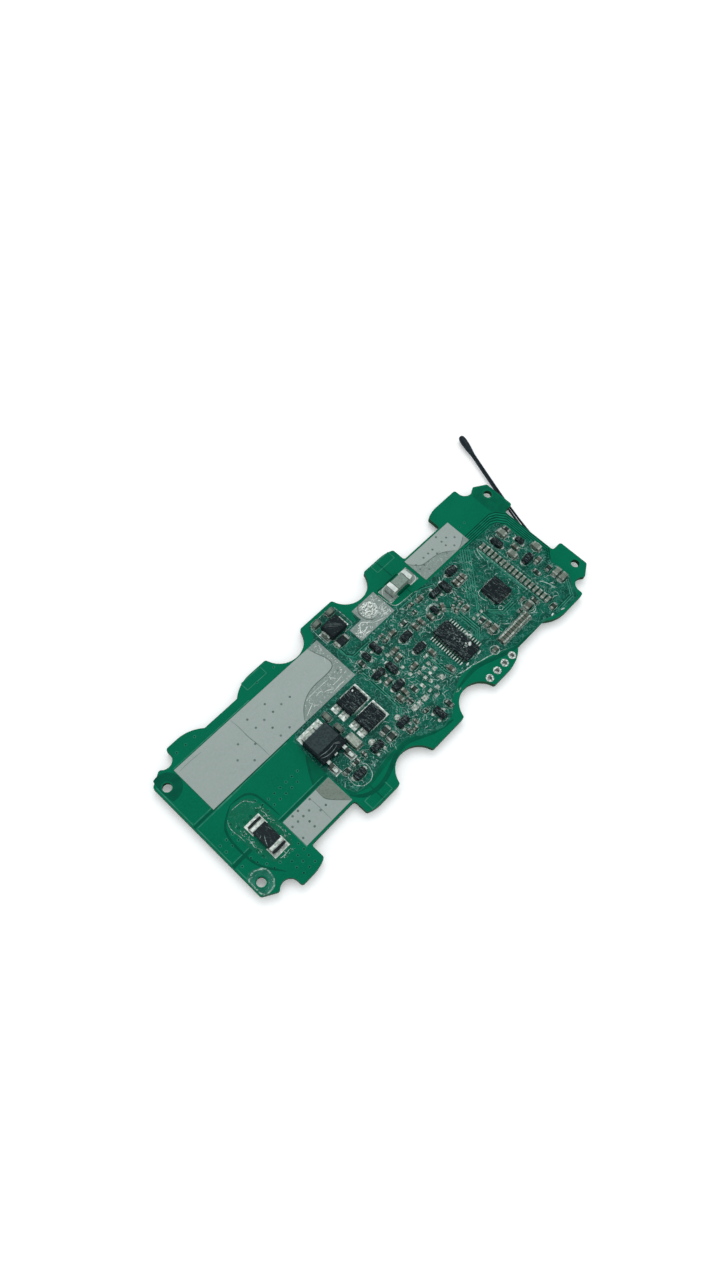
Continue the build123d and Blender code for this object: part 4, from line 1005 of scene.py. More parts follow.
for left, right, low, high, count in (
    (0.9, 5.2, 8.2, 11.1, 34), (7.8, 10.9, 8.2, 10.9, 40), (9.4, 10.9, 11.0, 14.1, 8),
    (-19, -7, 3.9, 7.0, 26), (-7.6, -6.5, 8.0, 14.5, 12),
):
    for _ in range(count):
        a, b = shaky.uniform(left, right), shaky.uniform(low, high)
        bend, tail = a + shaky.uniform(-0.3, 0.3), a + shaky.uniform(-0.5, 0.5)
        WRINKLES.append([(a, b), (bend, b + 0.25), (tail, b + 0.1)])
for name, look, beyond in (
    ("pad_wrinkles", "white_ridge_and_glint", False), ("middle_pad_wrinkles", "pad_glint", True),
):
    lines = [line for line in WRINKLES if (line[0][0] > 0) == beyond]
    on_tin(name, look, lines, width=0.2, height=0.05, rise=0.015, fine=0.3)
# A dark arc on the mound's side away from the lamp is painted shade.
mound_shade_arc = round_outline(7.35, 12.0, 2.55, 18, 0.08)[5:14]
on_tin("mound_shade_arc", "pad_scratch_and_shade", [mound_shade_arc], width=0.24, height=0.03, rise=0.01, fine=0.4)
print("wrinkle_and_glint_mask", len(WRINKLES))

# %% [markdown]
# ## Details of the larger parts
# The shunt's metal ends are folded over. Their rounded outer half is darkened as painted shade, and a flat
# strip towards the body is painted bright as a highlight. The resin also greys the small lands beside the
# switch transistor and the suppressor diode, with a dark seam where a switch foot ends and a line of
# painted shade on the land beside the suppressor's terminal.

# %% Shunt
def top_of(node):
    """The top of a CAD node, in millimetres."""
    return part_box(node)[1].z / MM


SHUNT_TOP = top_of("shunt_resistor_terminals")
# The rounded halves of the shunt's metal ends are darkened as painted shade, and the flat strips towards
# the body are painted highlights.
shunt_end_shade = []
for y, bow in ((-4.4, 0.12), (-10.9, -0.12)):
    shunt_end_shade.append([(-44.8, y, 1.0), (-43.2, y + bow, 1.15), (-41.6, y, 1.0)])
strokes("shunt_end_shade", "shunt_coat", "painted_shade_black", shunt_end_shade, SHUNT_TOP - 0.07, width=0.8, height=0.06)
plates("shunt_highlight_strips", "tinned_metal", "bright_solder_and_highlight",
       [box_outline(-44.8, -41.6, -5.36, -4.72), box_outline(-44.8, -41.6, -10.58, -9.94)],
       SHUNT_TOP, rise=0.02, sink=0.03, smooth=False)
SHUNT_STREAKS = [
    [(-44.6, -9.3), (-44.2, -8.2), (-43.6, -7.4)], [(-42.0, -6.6), (-41.8, -7.6)],
    [(-44.7, -7.2), (-44.0, -6.9)],
]
strokes("shunt_streaks", "shunt_coat", "resin_ridge", SHUNT_STREAKS, top_of("shunt_resistor_body"),
        width=0.14, height=0.03, fine=0.3)
print("shunt top", round(SHUNT_TOP, 2))

# %% Small lands beside the switch and the suppressor
tin_film("switch_land_film", "pad_film",
         [box_outline(-25.15, -23.6, -8.95, -6.7), box_outline(-20.5, -19.0, -8.95, -6.7)], smooth=False)
tin_film("suppressor_land_film", "pad_film",
         [box_outline(-5.0, -4.45, 13.05, 15.0), box_outline(0.95, 1.45, 13.05, 15.0)], smooth=False)
# The dark line on the land just left of the suppressor's terminal is painted shade of the terminal's wall.
SUPPRESSOR_WALL_SHADE = [[(-4.62, 13.1), (-4.66, 14.0), (-4.62, 14.95)]]
on_tin("suppressor_wall_shade", "seam_and_shade_dark", SUPPRESSOR_WALL_SHADE, width=0.3, height=0.05, fine=0.8)
FOOT_Y = -7.3
LEAD_X = (-24.35, -19.75)
feet = [[(a, FOOT_Y + (b - FOOT_Y) * 1.6) for a, b in round_outline(x, FOOT_Y, 0.62, 12)] for x in LEAD_X]
strokes("switch_feet", "tinned_metal", "seam_and_shade_dark", feet, LAND_TOP + 0.02,
        width=0.2, height=0.06, closed=True)
print("switch feet", len(feet))

# %% [markdown]
# ### The fuse
# The fuse's cap tops carry bright stripes as a painted highlight, with dark seams where the caps meet the
# pale body and lines of painted shade along the left cap's outer edge and on the land beside it. Its lands
# carry the greyed film too, with a bright rim and a darker outline, and the board beside it lies in its
# shade.

# %% Fuse lands and caps
tin_film("fuse_lands", "pad_film", [
    [(11.98, 13.2), (12.2, 13.45), (14.4, 13.45), (14.4, 13.45), (14.4, 9.65), (14.4, 9.65), (12.2, 9.65),
     (11.98, 9.9)],
    [(21.05, 13.2), (20.8, 13.45), (18.7, 13.45), (18.7, 13.45), (18.7, 9.65), (18.7, 9.65), (20.8, 9.65),
     (21.05, 9.9)],
])
FUSE_TOP = top_of("fuse_caps")
# The bright stripes on the cap tops are painted highlights.
plates("fuse_cap_highlights", "tinned_metal", "white_ridge_and_glint",
       [box_outline(13.6, 14.75, 10.42, 12.68), box_outline(18.5, 19.45, 10.42, 12.68)],
       FUSE_TOP, rise=0.02, smooth=False)
# Two of these lines are dark joints where the caps meet the body; the line on the left cap's outer edge and
# the one on the land beside it are painted shade.
strokes("fuse_seams_and_shade", "tinned_metal", "seam_and_shade_grey", [
    [(14.95, 10.5, 1, -0.1), (14.98, 11.5, 1, -0.1), (14.95, 12.6, 1, -0.1)],
    [(13.5, 10.4), (13.5, 11.5), (13.5, 12.7)],
    [(18.35, 10.5, 1, -0.05), (18.3, 11.5, 1, -0.05), (18.35, 12.6, 1, -0.05)],
    [(13.28, 10.2, 1.3, -2.08), (13.25, 11.5, 1.3, -2.08), (13.28, 12.9, 1.3, -2.08)],
], FUSE_TOP - 0.01, width=0.18, height=0.05, fine=0.8)
print("fuse top", round(FUSE_TOP, 2))

# %% Shade and rims round the fuse
on_lacquer("fuse_shade", "mask_deep_and_shade", [
    [(14.4, 13.8), (16.3, 13.75), (18.4, 13.8)], [(14.7, 9.85), (16.3, 9.9), (18.3, 9.85)],
    [(12.0, 13.85), (13.6, 13.75)],
], width=0.5, height=0.03, fine=0.5)
on_tin("fuse_land_rims", "white_ridge_and_glint", [
    [(12.5, 13.3), (13.4, 13.4), (14.3, 13.4)], [(12.1, 12.3), (12.6, 13.0), (13.2, 13.2)],
    [(18.7, 9.75), (19.8, 9.75), (20.8, 9.9), (20.98, 10.9)], [(18.7, 13.4), (20.4, 13.4), (20.9, 12.9)],
], width=0.24, height=0.05, fine=0.5)
fuse_outline = on_tin("fuse_outline", "pad_scratch_and_shade", [
    [(12.0, 13.1), (12.0, 13.1), (12.3, 13.45), (14.2, 13.45)], [(12.1, 10.0), (12.3, 9.65), (14.3, 9.65)],
    [(12.0, 13.0), (11.95, 11.5), (12.05, 10.1)], [(20.9, 9.7), (21.1, 10.3), (21.1, 12.8), (20.9, 13.4)],
], width=0.2, height=0.04, fine=0.7)
print("outline faces", len(fuse_outline.data.polygons))

# %% [markdown]
# ### The switch transistor
# Its top face slopes down towards the legs, with a ragged double ridge of resin along
# the start of the slope. Each point of a ridge carries a lift, which follows the slope.
# The metal tab has dark notches at its edge.

# %% Switch transistor
SWITCH_TOP = top_of("switch_transistor_body")
TAB_TOP = top_of("switch_transistor_tab")
SLOPE_START, SLOPE_FALL = -3.7, 0.405
SLOPE_LINES = [
    [(-24.95, -4.2), (-24.5, -4.2), (-23.75, -4.42), (-22.35, -4.5), (-21.2, -4.3)],
    [(-21.3, -4.25), (-20.6, -4.28), (-19.9, -4.8)], [(-20.9, -4.5), (-20.3, -4.75), (-19.9, -5.1)],
    [(-25.0, -4.62), (-24.35, -5.0), (-23.0, -5.22), (-21.7, -5.18), (-20.8, -4.92)],
]
sloped = [[(x, y, 1.0, SLOPE_FALL * (y - SLOPE_START)) for x, y in line] for line in SLOPE_LINES]
strokes("switch_ridges", "black_mould", "ridge_grey", sloped, SWITCH_TOP, width=0.16, height=0.05, fine=0.4)
strokes("tab_notches", "tinned_metal", "seam_and_shade_dark", [
    [(-21.3, 1.4), (-21.15, 1.05), (-21.25, 0.5)], [(-19.75, 1.4), (-19.6, 1.0)],
    [(-24.6, 1.3), (-24.65, 0.6)],
], TAB_TOP, width=0.26, height=0.04, fine=0.6)
print("switch top", round(SWITCH_TOP, 2), "tab top", round(TAB_TOP, 2))

# %% [markdown]
# ### Resin on the moulded tops
# Resin also dried on the black bodies, in short slanting streaks and small drops. The
# streaks are drawn at random inside each body's outline and sorted by the height of its
# top. The suppressor diode also has a few long scratches across its top.

# %% Streaks of resin on the moulded tops
streaks = {}
for (x, y, half_length, half_width, _), top in zip(body_boxes, body_tops):
    for _ in range(int(4 + 3.4 * half_length * half_width)):
        reach = shaky.uniform(0.15, 0.4)
        a = x + shaky.uniform(-1, 1) * (half_length - 0.35)
        b = y + shaky.uniform(-1, 1) * (half_width - 0.3)
        lean = shaky.uniform(0.5, 1.2)
        u, v = reach * math.cos(lean) / 2, -reach * math.sin(lean) / 2
        bend = a + shaky.uniform(-0.06, 0.06)
        streaks.setdefault(round(top, 2), []).append([(a - u, b - v), (bend, b), (a + u, b + v)])
for k, (top, lines) in enumerate(sorted(streaks.items())):
    strokes(f"mould_streaks_{k}", "black_mould", "ridge_grey", lines, top,
            width=0.11, height=0.025, fine=0.4, steps=1)
print("streaks", sum(len(lines) for lines in streaks.values()))

# %% Scratches on the suppressor
SCRATCHES = [
    [(-3.3, 15.5), (-1.9, 14.2), (-0.5, 12.8)], [(-3.0, 15.5), (-1.7, 14.3), (-0.4, 13.0)],
    [(-2.7, 15.5), (-1.3, 14.1), (-0.3, 13.2)], [(-3.1, 14.9), (-2.2, 14.0), (-1.4, 13.2)],
    [(-2.3, 15.4), (-1.4, 14.6)], [(-3.3, 14.4), (-2.6, 13.7)],
]
strokes("suppressor_scratches", "black_mould", "scratch_grey", SCRATCHES,
        top_of("suppressor_diode_body"), width=0.1, height=0.03, fine=0.3)
print("scratches", len(SCRATCHES))

# %% Drops of resin
rest()
bpy.ops.mesh.primitive_uv_sphere_add(segments=10, ring_count=6, radius=1 * MM)
edit_all()
bpy.ops.transform.resize(value=(0.5, 0.36, 0.2), center_override=(0, 0, 0))
bpy.ops.mesh.vertices_smooth(factor=0.4)
bpy.ops.object.mode_set(mode="OBJECT")
drop_model = bpy.context.object
spot_model = drop_model.copy()
spot_model.data = drop_model.data.copy()
scene.collection.objects.link(spot_model)

MONITOR_TOP = top_of("monitor_chip_body")
LEAD_TOP = top_of("switch_transistor_leads")
MONITOR_SPOTS = 26
spots = []
for _ in range(MONITOR_SPOTS):
    spots.append((
        (shaky.uniform(14.4, 16.5), shaky.uniform(-9.2, -3.8), MONITOR_TOP), shaky.uniform(0, 3),
        (shaky.uniform(0.3, 0.6), shaky.uniform(0.3, 0.5), 0.35),
    ))
# The drops are painted white, partly for the resin and partly as painted glints; the two by the lower edge,
# at x 35.8 and 38.6, stand only for glints.
DROPS_AND_GLINTS = [
    ((16.45, -9.3, MONITOR_TOP), 0.5, (1.2, 1, 1)), ((15.9, -8.6, MONITOR_TOP), 1.2, (0.5, 0.5, 0.5)),
    ((-24.35, -8.25, LEAD_TOP - 0.75), 1.57, (0.9, 0.9, 0.6)),
    ((-19.75, -8.15, LEAD_TOP - 0.75), 1.57, (1.1, 1, 0.6)),
    ((-24.35, -6.3, LEAD_TOP - 0.3), 1.57, (1, 1, 0.6)),
    ((-19.75, -6.3, LEAD_TOP - 0.3), 1.57, (1, 1, 0.6)),
    ((-20.5, 0.95, TAB_TOP), 0.2, (1.1, 1.3, 0.6)),
    ((18.3, -7.2, BOARD_TOP), 1.3, (1.1, 0.9, 0.9)), ((18.6, -7.8, BOARD_TOP), 0.6, (0.8, 0.8, 0.8)),
    ((35.8, -17.6, BOARD_TOP), 0.2, (1, 0.6, 0.5)), ((38.6, -18.4, BOARD_TOP), -0.3, (1.3, 0.5, 0.5)),
    ((12.9, -11.9, BOARD_TOP), 0.2, (1.1, 0.7, 0.7)), ((16.8, -11.9, BOARD_TOP), 0.1, (1.5, 0.7, 0.7)),
    ((29.6, -7.3, BOARD_TOP), 0.3, (0.7, 0.6, 0.8)), ((31.8, -7.2, BOARD_TOP), 0.3, (0.9, 0.6, 0.8)),
    ((2.9, 1.7, BOARD_TOP), 0.7, (0.7, 0.8, 0.9)), ((-1.4, 6.3, BOARD_TOP), 1.2, (0.6, 0.6, 0.9)),
    ((-9.6, 1.2, top_of("charge_mosfet_body")), 0.4, (0.6, 0.6, 0.6)),
]
copies("resin_drops_and_glints", "solder_mask", "white_ridge_and_glint", drop_model, DROPS_AND_GLINTS)
copies("monitor_spots", "black_mould", "ridge_grey", spot_model, spots)
print("drops", len(DROPS_AND_GLINTS), "spots", len(spots))

# %% [markdown]
# ## Floor, light and background
# The photograph is cut out on white, and the board is lit evenly from above. A pale
# floor takes the shadow, the sky is a plain white that metal can mirror, and one large
# lamp overhead gives the solder its soft highlights. The sky lights the board a little
# less than it shows, so that a colour renders about as it is written. Three helpers come
# first: they make a node, fill its inputs and do sums with nodes.

# %% Node helpers
def plug(tree, node, inputs):
    """Fill a node's inputs, each by a link from another node or with a plain value."""
    for key, value in inputs.items():
        if isinstance(value, bpy.types.NodeSocket):
            tree.links.new(value, node.inputs[key])
        else:
            node.inputs[key].default_value = value


def add_node(tree, kind, inputs=None, **settings):
    """A new node of this kind, with its settings and its inputs filled. Returns its outputs."""
    node = tree.nodes.new("ShaderNode" + kind)
    for key, value in settings.items():
        setattr(node, key, value)
    plug(tree, node, inputs or {})
    return node.outputs


def sum_node(tree, operation, *values):
    """One step of arithmetic on sockets or numbers."""
    return add_node(tree, "Math", dict(enumerate(values)), operation=operation)[0]


print("node helpers ready")

# %% Floor
rest()
bpy.ops.mesh.primitive_plane_add(size=2.4, location=(0, 0, -0.0002))
floor = bpy.context.object
floor.name = "floor"
floor_paint = bpy.data.materials.new("floor_paint")
floor_paint.use_nodes = True
tree = floor_paint.node_tree
plug(tree, tree.nodes["Principled BSDF"], {
    "Base Color": (0.96, 0.96, 0.96, 1), "Roughness": 1.0, "Specular IOR Level": 0.0,
    "Emission Color": (0.16, 0.16, 0.16, 1),
    "Emission Strength": add_node(tree, "LightPath")["Is Camera Ray"],
})
floor.data.materials.append(floor_paint)
print("floor at", round(floor.location.z / MM, 2), "mm")

# %% Sky and lamp
sky = bpy.data.worlds.new("sky")
scene.world = sky
sky.use_nodes = True
tree = sky.node_tree
shown = tree.nodes["Background"]
plug(tree, shown, {"Color": (1, 1, 1, 1), "Strength": 1.0})
lighting = add_node(tree, "Background", {"Color": (0.96, 0.99, 1, 1), "Strength": 0.86})
path = add_node(tree, "LightPath")
direct = sum_node(tree, "MAXIMUM", path["Is Camera Ray"], path["Is Glossy Ray"])
seen = sum_node(tree, "MAXIMUM", direct, path["Is Transmission Ray"])
mixed = add_node(tree, "MixShader", {"Fac": seen, 1: lighting[0], 2: shown.outputs[0]})
plug(tree, tree.nodes["World Output"], {"Surface": mixed[0]})

lamp_data = bpy.data.lights.new("overhead_lamp", "AREA")
lamp_data.shape = "DISK"
lamp_data.size = 0.5
lamp_data.energy = 1.5
lamp = bpy.data.objects.new("overhead_lamp", lamp_data)
scene.collection.objects.link(lamp)
lamp.location = (0.25, 0.3, 0.75)
lamp.rotation_euler = (Vector((0, 0, 0)) - lamp.location).to_track_quat("-Z", "Y").to_euler()
print("lamp energy", lamp_data.energy, "W")

# %% [markdown]
# ## Finishes
# Each finish starts from one physical shader. Small helpers then do most of the work:
# one lays a noise over a surface and turns it into a mask, and the others let that mask
# blend two tones, vary the gloss or raise bumps. All patterns use Object coordinates,
# which are metres on every piece, so a noise scale of 1000 gives grains about a
# millimetre wide.

# %% Finish helpers
finishes = {}


def linear(red, green, blue):
    """A screen colour of 0 to 255 as the linear colour that a shader wants."""
    out = []
    for value in (red, green, blue):
        value /= 255
        out.append(value / 12.92 if value <= 0.04045 else ((value + 0.055) / 1.055) ** 2.4)
    return (*out, 1)


def finish(name, colour, roughness, metallic=0.0, shine=0.5):
    """A new material with one physical shader. Returns its node tree and the shader."""
    material = bpy.data.materials.new(name)
    material.use_nodes = True
    shader = material.node_tree.nodes["Principled BSDF"]
    plug(material.node_tree, shader, {
        "Base Color": colour, "Roughness": roughness, "Metallic": metallic, "Specular IOR Level": shine,
    })
    material.diffuse_color = colour
    finishes[name] = material
    return material.node_tree, shader


def ramp(tree, value, low, high, low_out=0.0, high_out=1.0):
    """A value's range from low to high, stretched over another range."""
    limits = {"From Min": low, "From Max": high, "To Min": low_out, "To Max": high_out}
    return add_node(tree, "MapRange", {"Value": value, **limits})["Result"]


def noise(tree, scale, low, high, detail=3.0, stretch=(1, 1, 1), turn=0.0):
    """A noise in the piece's own coordinates, as a mask that rises from low to high."""
    place = add_node(tree, "Mapping", {
        "Vector": add_node(tree, "TexCoord")["Object"], "Scale": stretch,
        "Rotation": (0, 0, math.radians(turn)),
    })["Vector"]
    field = add_node(tree, "TexNoise", {"Vector": place, "Scale": scale, "Detail": detail})["Fac"]
    return ramp(tree, field, low, high)


print("first finish helpers ready")

# %% Mixing helpers
def blend(tree, mask, first, second):
    """A colour that goes from first to second as the mask goes from 0 to 1."""
    return add_node(tree, "Mix", {"Factor": mask, "A": first, "B": second}, data_type="RGBA")["Result"]


def bumps(tree, shader, mask, depth):
    """Bumps of this depth, in millimetres, where the mask is high."""
    bump = add_node(tree, "Bump", {"Strength": 1.0, "Distance": depth * MM, "Height": mask})
    plug(tree, shader, {"Normal": bump["Normal"]})


def spread(tree, shader, mask, low, high):
    """Let the roughness wander between low and high with the mask."""
    plug(tree, shader, {"Roughness": ramp(tree, mask, 0.0, 1.0, low, high)})


def web(tree, scale, width, detail=2.0, stretch=(1, 1, 1), turn=0.0):
    """Thin connected veins: high where a noise crosses its middle."""
    field = noise(tree, scale, 0.0, 1.0, detail, stretch, turn)
    folded = sum_node(tree, "ABSOLUTE", sum_node(tree, "SUBTRACT", field, 0.5))
    return ramp(tree, folded, width, 0.0)


def facing_up(tree):
    """The upward share of the surface's direction: 1 on a level top, 0 on a wall."""
    return add_node(tree, "SeparateXYZ", {"Vector": add_node(tree, "NewGeometry")["Normal"]})["Z"]


print("mixing helpers ready")

# %% [markdown]
# ### Solder mask
# The mask is a deep green lacquer over copper and glass epoxy. Over bare epoxy it looks
# darker than over copper, and it is never quite even. The routed edge shows the
# laminate's layers instead, so the surface normal chooses between the two.

# %% Solder mask
tree, shader = finish("solder_mask", linear(6, 106, 76), 0.42, shine=0.015)
patches = noise(tree, 160, 0.35, 0.65)
grain = noise(tree, 2600, 0.3, 0.7, detail=2)
lacquer = blend(tree, patches, linear(1, 97, 68), linear(3, 105, 76))
lacquer = blend(tree, grain, lacquer, linear(4, 106, 78))
layers = add_node(
    tree, "TexWave",
    {"Vector": add_node(tree, "TexCoord")["Object"], "Scale": 1500, "Distortion": 2.5, "Detail": 2},
    wave_type="BANDS", bands_direction="Z",
)["Fac"]
laminate = blend(tree, layers, linear(10, 62, 46), linear(50, 82, 60))
level = sum_node(tree, "ABSOLUTE", facing_up(tree))
plug(tree, shader, {"Base Color": blend(tree, level, laminate, lacquer)})
spread(tree, shader, patches, 0.36, 0.48)
bumps(tree, shader, grain, 0.004)
print("solder mask nodes", len(tree.nodes))

# %% [markdown]
# ### Tin and solder
# The pads are tinned copper, satin and faintly mottled, with rubbed streaks along their
# length. Solder is brighter and lumpier, and the ends of the chips lie between the two.
# Most other finishes here need only one noise that moves colour, gloss and height
# together, so that is a helper of its own.

# %% Tin
tree, shader = finish("tin", linear(131, 143, 139), 0.5, metallic=0.45, shine=0.2)
rubs = noise(tree, 700, 0.35, 0.7, detail=4, stretch=(0.3, 1, 1))
mottle = noise(tree, 1900, 0.3, 0.7)
colour = blend(tree, rubs, linear(140, 151, 148), linear(144, 156, 153))
plug(tree, shader, {"Base Color": blend(tree, mottle, colour, linear(137, 149, 145))})
spread(tree, shader, rubs, 0.5, 0.56)
bumps(tree, shader, mottle, 0.006)
print("tin nodes", len(tree.nodes))

# %% Solder and tinned metal
def mottled(name, tone, dark, pale, grain, rough, depth, metallic=0.0, shine=0.5):
    """A finish whose colour, gloss and height all follow one noise.

    The grain is the noise's scale, its two limits and its detail. The first of the two
    roughness values belongs to the dark places."""
    tree, shader = finish(name, linear(*tone), rough[0], metallic, shine)
    mask = noise(tree, *grain)
    plug(tree, shader, {"Base Color": blend(tree, mask, linear(*dark), linear(*pale))})
    spread(tree, shader, mask, *rough)
    bumps(tree, shader, mask, depth)


mottled("solder", (176, 186, 181), (120, 132, 126), (226, 232, 228),
        (1500, 0.3, 0.7, 4), (0.38, 0.2), 0.05, metallic=0.85)
mottled("tinned_metal", (122, 130, 124), (84, 96, 89), (146, 155, 148),
        (1300, 0.35, 0.65, 3), (0.5, 0.34), 0.02, metallic=0.5, shine=0.25)
mottled("dull_solder", (120, 130, 124), (74, 92, 85), (158, 168, 160),
        (1900, 0.35, 0.65, 4), (0.5, 0.3), 0.03, metallic=0.6)
for name, dark, pale, scale, rough in (
    ("bright_solder_and_highlight", (150, 162, 156), (196, 204, 198), 1500, 0.42),
    ("land_solder", (112, 126, 119), (182, 192, 184), 3000, 0.44),
    ("white_solder", (98, 112, 107), (212, 220, 215), 3000, 0.38),
):
    mottled(name, pale, dark, pale, (scale, 0.38, 0.62, 3), (rough * 1.3, rough * 0.8), 0.03,
            metallic=0.4, shine=0.3)
print("metals", sorted(finishes))

# %% [markdown]
# ### Moulded bodies, ceramics and the bead
# Black moulding compound is matte and grainy, and here the protective resin has dried
# over it in pale streaks. The shunt and the chips carry smoother coats, the fuse is pale
# ceramic, and the bead is glossy dipped resin.

# %% Moulded bodies, ceramics and the bead
def coated_body(name, dark, pale, roughness, grain_scale, streak_turn, drift=None, top=None):
    """A dark body with fine grain and pale streaks of dried resin.

    The drift is a tone that lies over it in large patches. The top is a pair of lighter tones for the level
    upper face, a painted sheen."""
    dark, pale = linear(*dark), linear(*pale)
    tree, shader = finish(name, dark, roughness, shine=0.05)
    streaks = web(tree, 1300, 0.014, 4, stretch=(1, 0.3, 1), turn=streak_turn)
    grain = noise(tree, grain_scale, 0.3, 0.7, detail=2)
    body = blend(tree, grain, dark, (*(min(1, c * 1.5) for c in dark[:3]), 1))
    if drift:
        body = blend(tree, noise(tree, 760, 0.4, 0.6), body, linear(*drift))
    body = blend(tree, streaks, body, pale)
    if top:
        # The level top takes lighter tones, a painted sheen.
        smooth = blend(tree, noise(tree, 2600, 0.45, 0.6), *(linear(*tone) for tone in top))
        body = blend(tree, ramp(tree, facing_up(tree), 0.95, 0.98), body, smooth)
    plug(tree, shader, {"Base Color": body})
    spread(tree, shader, streaks, roughness, roughness * 0.55)
    bumps(tree, shader, grain, 0.012)


for coat in (
    ("black_mould", (17, 26, 29), (104, 120, 118), 0.5, 5200, 35),
    ("smooth_mould", (17, 26, 29), (54, 66, 68), 0.5, 6000, 35, None, ((42, 54, 56), (54, 67, 69))),
    ("shunt_coat", (26, 34, 37), (70, 82, 82), 0.45, 4200, 80),
    ("resistor_coat", (36, 50, 46), (120, 134, 126), 0.4, 4200, 20, (92, 104, 94)),
    ("dusty_ceramic", (132, 142, 132), (170, 178, 168), 0.5, 3800, 10),
    ("pale_ceramic", (112, 128, 120), (140, 150, 142), 0.55, 3800, 10),
    ("brown_ceramic", (74, 78, 70), (118, 122, 112), 0.45, 3600, 60),
    ("grey_ceramic", (90, 101, 92), (134, 143, 133), 0.5, 3600, 60, (110, 120, 110)),
    ("dark_resistor", (28, 39, 40), (88, 102, 96), 0.4, 4200, 20, (50, 60, 56)),
    ("clean_mould", (19, 28, 31), (30, 40, 42), 0.5, 5200, 35),
    ("dark_sleeve", (26, 36, 42), (60, 72, 76), 0.38, 4200, 20),
    ("dark_resin", (24, 34, 40), (52, 64, 68), 0.24, 3000, 20),
):
    coated_body(*coat)
print("finishes so far", len(finishes))

# %% Metal of the leads
# The leads are painted light on their level tops and dark on their walls, as painted light and shade; the
# noise on the tops is wear.
tree, shader = finish("lead_metal_lit_top", linear(140, 150, 143), 0.4, metallic=0.4, shine=0.25)
wear = noise(tree, 1800, 0.35, 0.65)
lit_lead_top = blend(tree, wear, linear(122, 134, 127), linear(182, 192, 185))
lit_and_shaded_lead = blend(tree, ramp(tree, facing_up(tree), 0.8, 0.95), linear(62, 74, 70), lit_lead_top)
plug(tree, shader, {"Base Color": lit_and_shaded_lead})
spread(tree, shader, wear, 0.5, 0.34)
bumps(tree, shader, wear, 0.015)
print("lead metal nodes", len(tree.nodes))

# %% [markdown]
# ### Lacquer lines
# The gaps and outlines are the same lacquer, darker over bare laminate and paler on an edge of copper.
# Seams, scratches and marks on the metal are just as thin and take the same kind of finish, in greys. The
# deepest green and some of the dark greys also serve as painted shade, and the whites partly as painted
# glints.

# %% Lacquer lines
def lacquer_line(name, dark, pale, roughness=0.42, shine=0.06):
    """The lacquer in another depth, with a soft unevenness."""
    rough = (roughness * 0.8, roughness * 1.15)
    mottled(name, dark, dark, pale, (700, 0.35, 0.65, 3), rough, 0.004, shine=shine)


for line in (
    ("mask_dark", (2, 76, 58), (4, 86, 64), 0.42, 0.02),
    # The deepest green is also painted shade round the feet of parts, in narrow gaps and beside the fuse
    # and the resistor column.
    ("mask_deep_and_shade", (2, 54, 42), (3, 68, 52), 0.42, 0.02),
    ("mask_dim", (2, 86, 63), (3, 94, 68), 0.42, 0.02),
    ("mask_rim", (22, 112, 86), (52, 130, 106), 0.42, 0.03),
    ("mask_pale", (30, 114, 88), (62, 132, 110)),
    ("track", (34, 114, 94), (62, 136, 116)),
    ("track_green", (4, 108, 79), (14, 120, 92), 0.42, 0.03),
    ("film_shade", (8, 80, 62), (40, 112, 92)),
    ("scratch_grey", (66, 79, 80), (102, 116, 114)),
    ("pad_via", (82, 98, 92), (104, 120, 114)),
    # This grey draws pad scratches and film edges, and painted shade beside the mound.
    ("pad_scratch_and_shade", (78, 94, 87), (104, 120, 113), 0.3),
    ("pad_glint", (192, 202, 196), (238, 243, 240), 0.24, 0.3),
    # The white ridges are partly pale resin and partly painted glints.
    ("white_ridge_and_glint", (168, 180, 174), (214, 222, 217), 0.24, 0.3),
    ("painted_shade_black", (20, 28, 30), (32, 42, 43), 0.4),
    ("seam_and_shade_dark", (40, 52, 50), (62, 74, 70), 0.4),
    ("seam_and_shade_grey", (70, 80, 76), (96, 106, 101), 0.4),
    ("ridge_grey", (84, 98, 97), (130, 142, 139), 0.3),
):
    lacquer_line(*line)
print("finishes so far", len(finishes))

# %% [markdown]
# ### The resin's finishes
# The dried resin is webbed. A noise that is bent back on itself where it crosses its
# middle value gives thin connected veins, which is the web. Finer speckle lies between
# them, and both also raise the surface, so the film glints as it does in the photograph.

# %% Resin finishes
def film_look(name, deep, mid, pale, vein_width, speckle_from, roughness=0.3):
    """Wrinkled resin over something of this colour."""
    deep, mid, pale = linear(*deep), linear(*mid), linear(*pale)
    tree, shader = finish(name, mid, roughness, shine=0.04)
    cloud = noise(tree, 420, 0.38, 0.62)
    speckle = noise(tree, 2900, speckle_from, speckle_from + 0.12, detail=2)
    # The veins and speckle are painted pale, partly for the resin's milky tone and partly as painted
    # glints; their bumps are real relief.
    wrinkle_and_glint_mask = sum_node(tree, "MAXIMUM", web(tree, 950, vein_width), speckle)
    ground = blend(tree, cloud, deep, mid)
    plug(tree, shader, {"Base Color": blend(tree, wrinkle_and_glint_mask, ground, pale)})
    spread(tree, shader, cloud, roughness * 0.7, roughness * 1.4)
    bumps(tree, shader, wrinkle_and_glint_mask, 0.03)


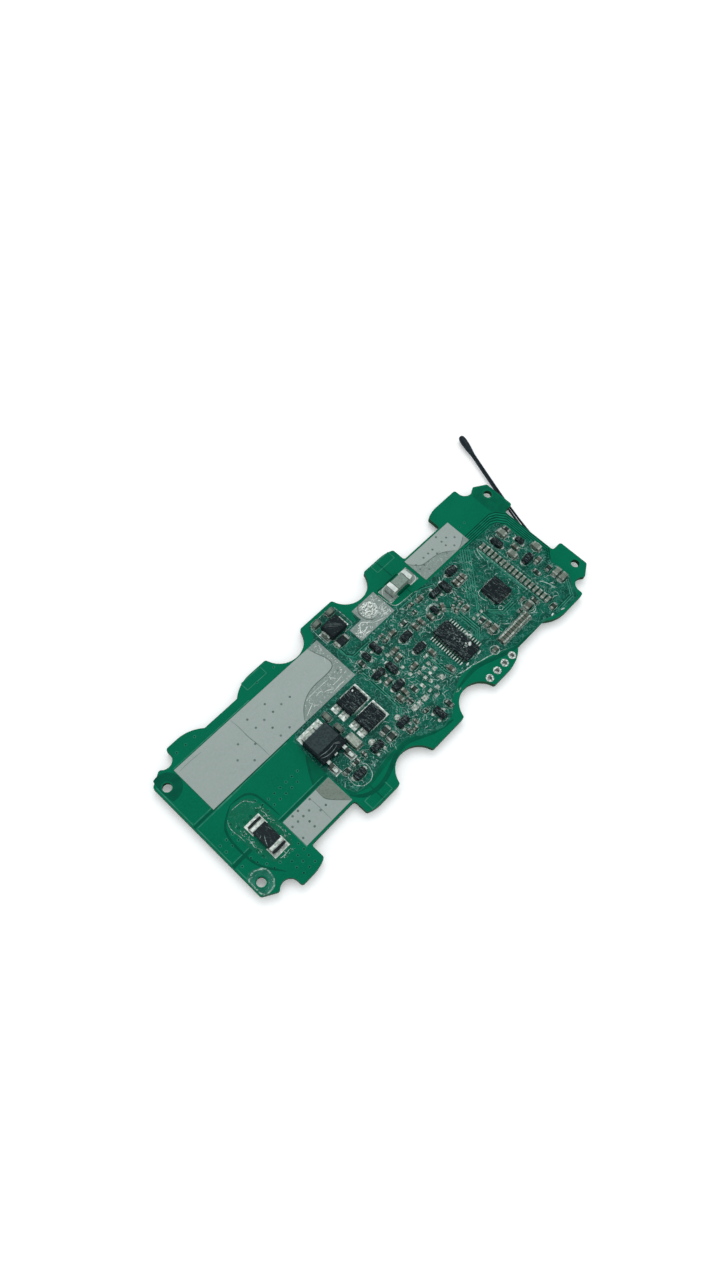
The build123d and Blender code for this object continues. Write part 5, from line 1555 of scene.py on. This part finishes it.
for film in (
    ("resin_film", (1, 66, 53), (4, 92, 74), (74, 132, 120), 0.032, 0.62),
    ("thin_film", (2, 94, 68), (6, 102, 76), (62, 128, 106), 0.016, 0.68),
    ("hole_film", (20, 98, 78), (42, 116, 97), (88, 142, 125), 0.014, 0.7),
    ("pad_film", (124, 138, 133), (130, 144, 139), (172, 184, 178), 0.02, 0.7),
    ("dotted_film", (114, 127, 117), (121, 133, 123), (98, 112, 103), 0.008, 0.58),
    # The pale ridge finishes are partly the resin's milky tone and partly painted glints on the ridges'
    # crests.
    ("pale_ridge", (112, 150, 138), (158, 182, 172), (212, 224, 218), 0.06, 0.54, 0.22),
    ("dim_ridge", (44, 98, 84), (84, 130, 116), (158, 186, 174), 0.06, 0.56, 0.22),
    ("resin_ridge", (80, 126, 113), (132, 163, 153), (198, 213, 207), 0.06, 0.56, 0.22),
):
    film_look(*film)
print("finishes", len(finishes))

# %% [markdown]
# ### Give the finishes out
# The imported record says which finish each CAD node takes, and a short list says where
# the photograph asks for a closer one. One loop serves them all, and a second one gives
# each new piece the look that was noted when it was settled.

# %% Give the finishes out
NODE_LOOKS = {
    "switch_transistor_body": "smooth_mould", "bulk_capacitor_body": "dusty_ceramic",
    "power_lands": "bright_solder_and_highlight", "test_lands": "dull_solder", "header_eyelets": "white_solder",
    "snubber_capacitor_bodies": "grey_ceramic", "filter_capacitor_bodies": "grey_ceramic",
    "resistor_column_bodies": "grey_ceramic", "chip_resistor_bodies": "dark_resistor",
    "bleed_resistor_body": "shunt_coat", "suppressor_diode_body": "clean_mould",
    "suppressor_diode_terminals": "dull_solder", "snubber_capacitor_ends": "seam_and_shade_grey",
    "switch_transistor_leads": "lead_metal_lit_top", "monitor_chip_leads": "lead_metal_lit_top",
    "small_transistor_leads": "lead_metal_lit_top", "signal_diode_leads": "lead_metal_lit_top",
    "fuse_caps": "bright_solder_and_highlight", "capacitor_row_ends": "dull_solder",
    "resistor_column_ends": "dull_solder",
}
for part in frame["record"]["subparts"]:
    worn = frame["nodes"][part["node"]].data.materials
    worn.clear()
    worn.append(finishes[NODE_LOOKS.get(part["node"], part["material_slot"])])
for piece in pieces + list(wires.values()):
    piece.data.materials.clear()
    piece.data.materials.append(finishes[looks.get(piece.name, "dark_sleeve")])

# %% [markdown]
# ## The count of new pieces
# The new pieces and the wires are counted, and the number is printed.

# %% The count of new pieces
print("new pieces", len(pieces) + len(wires))
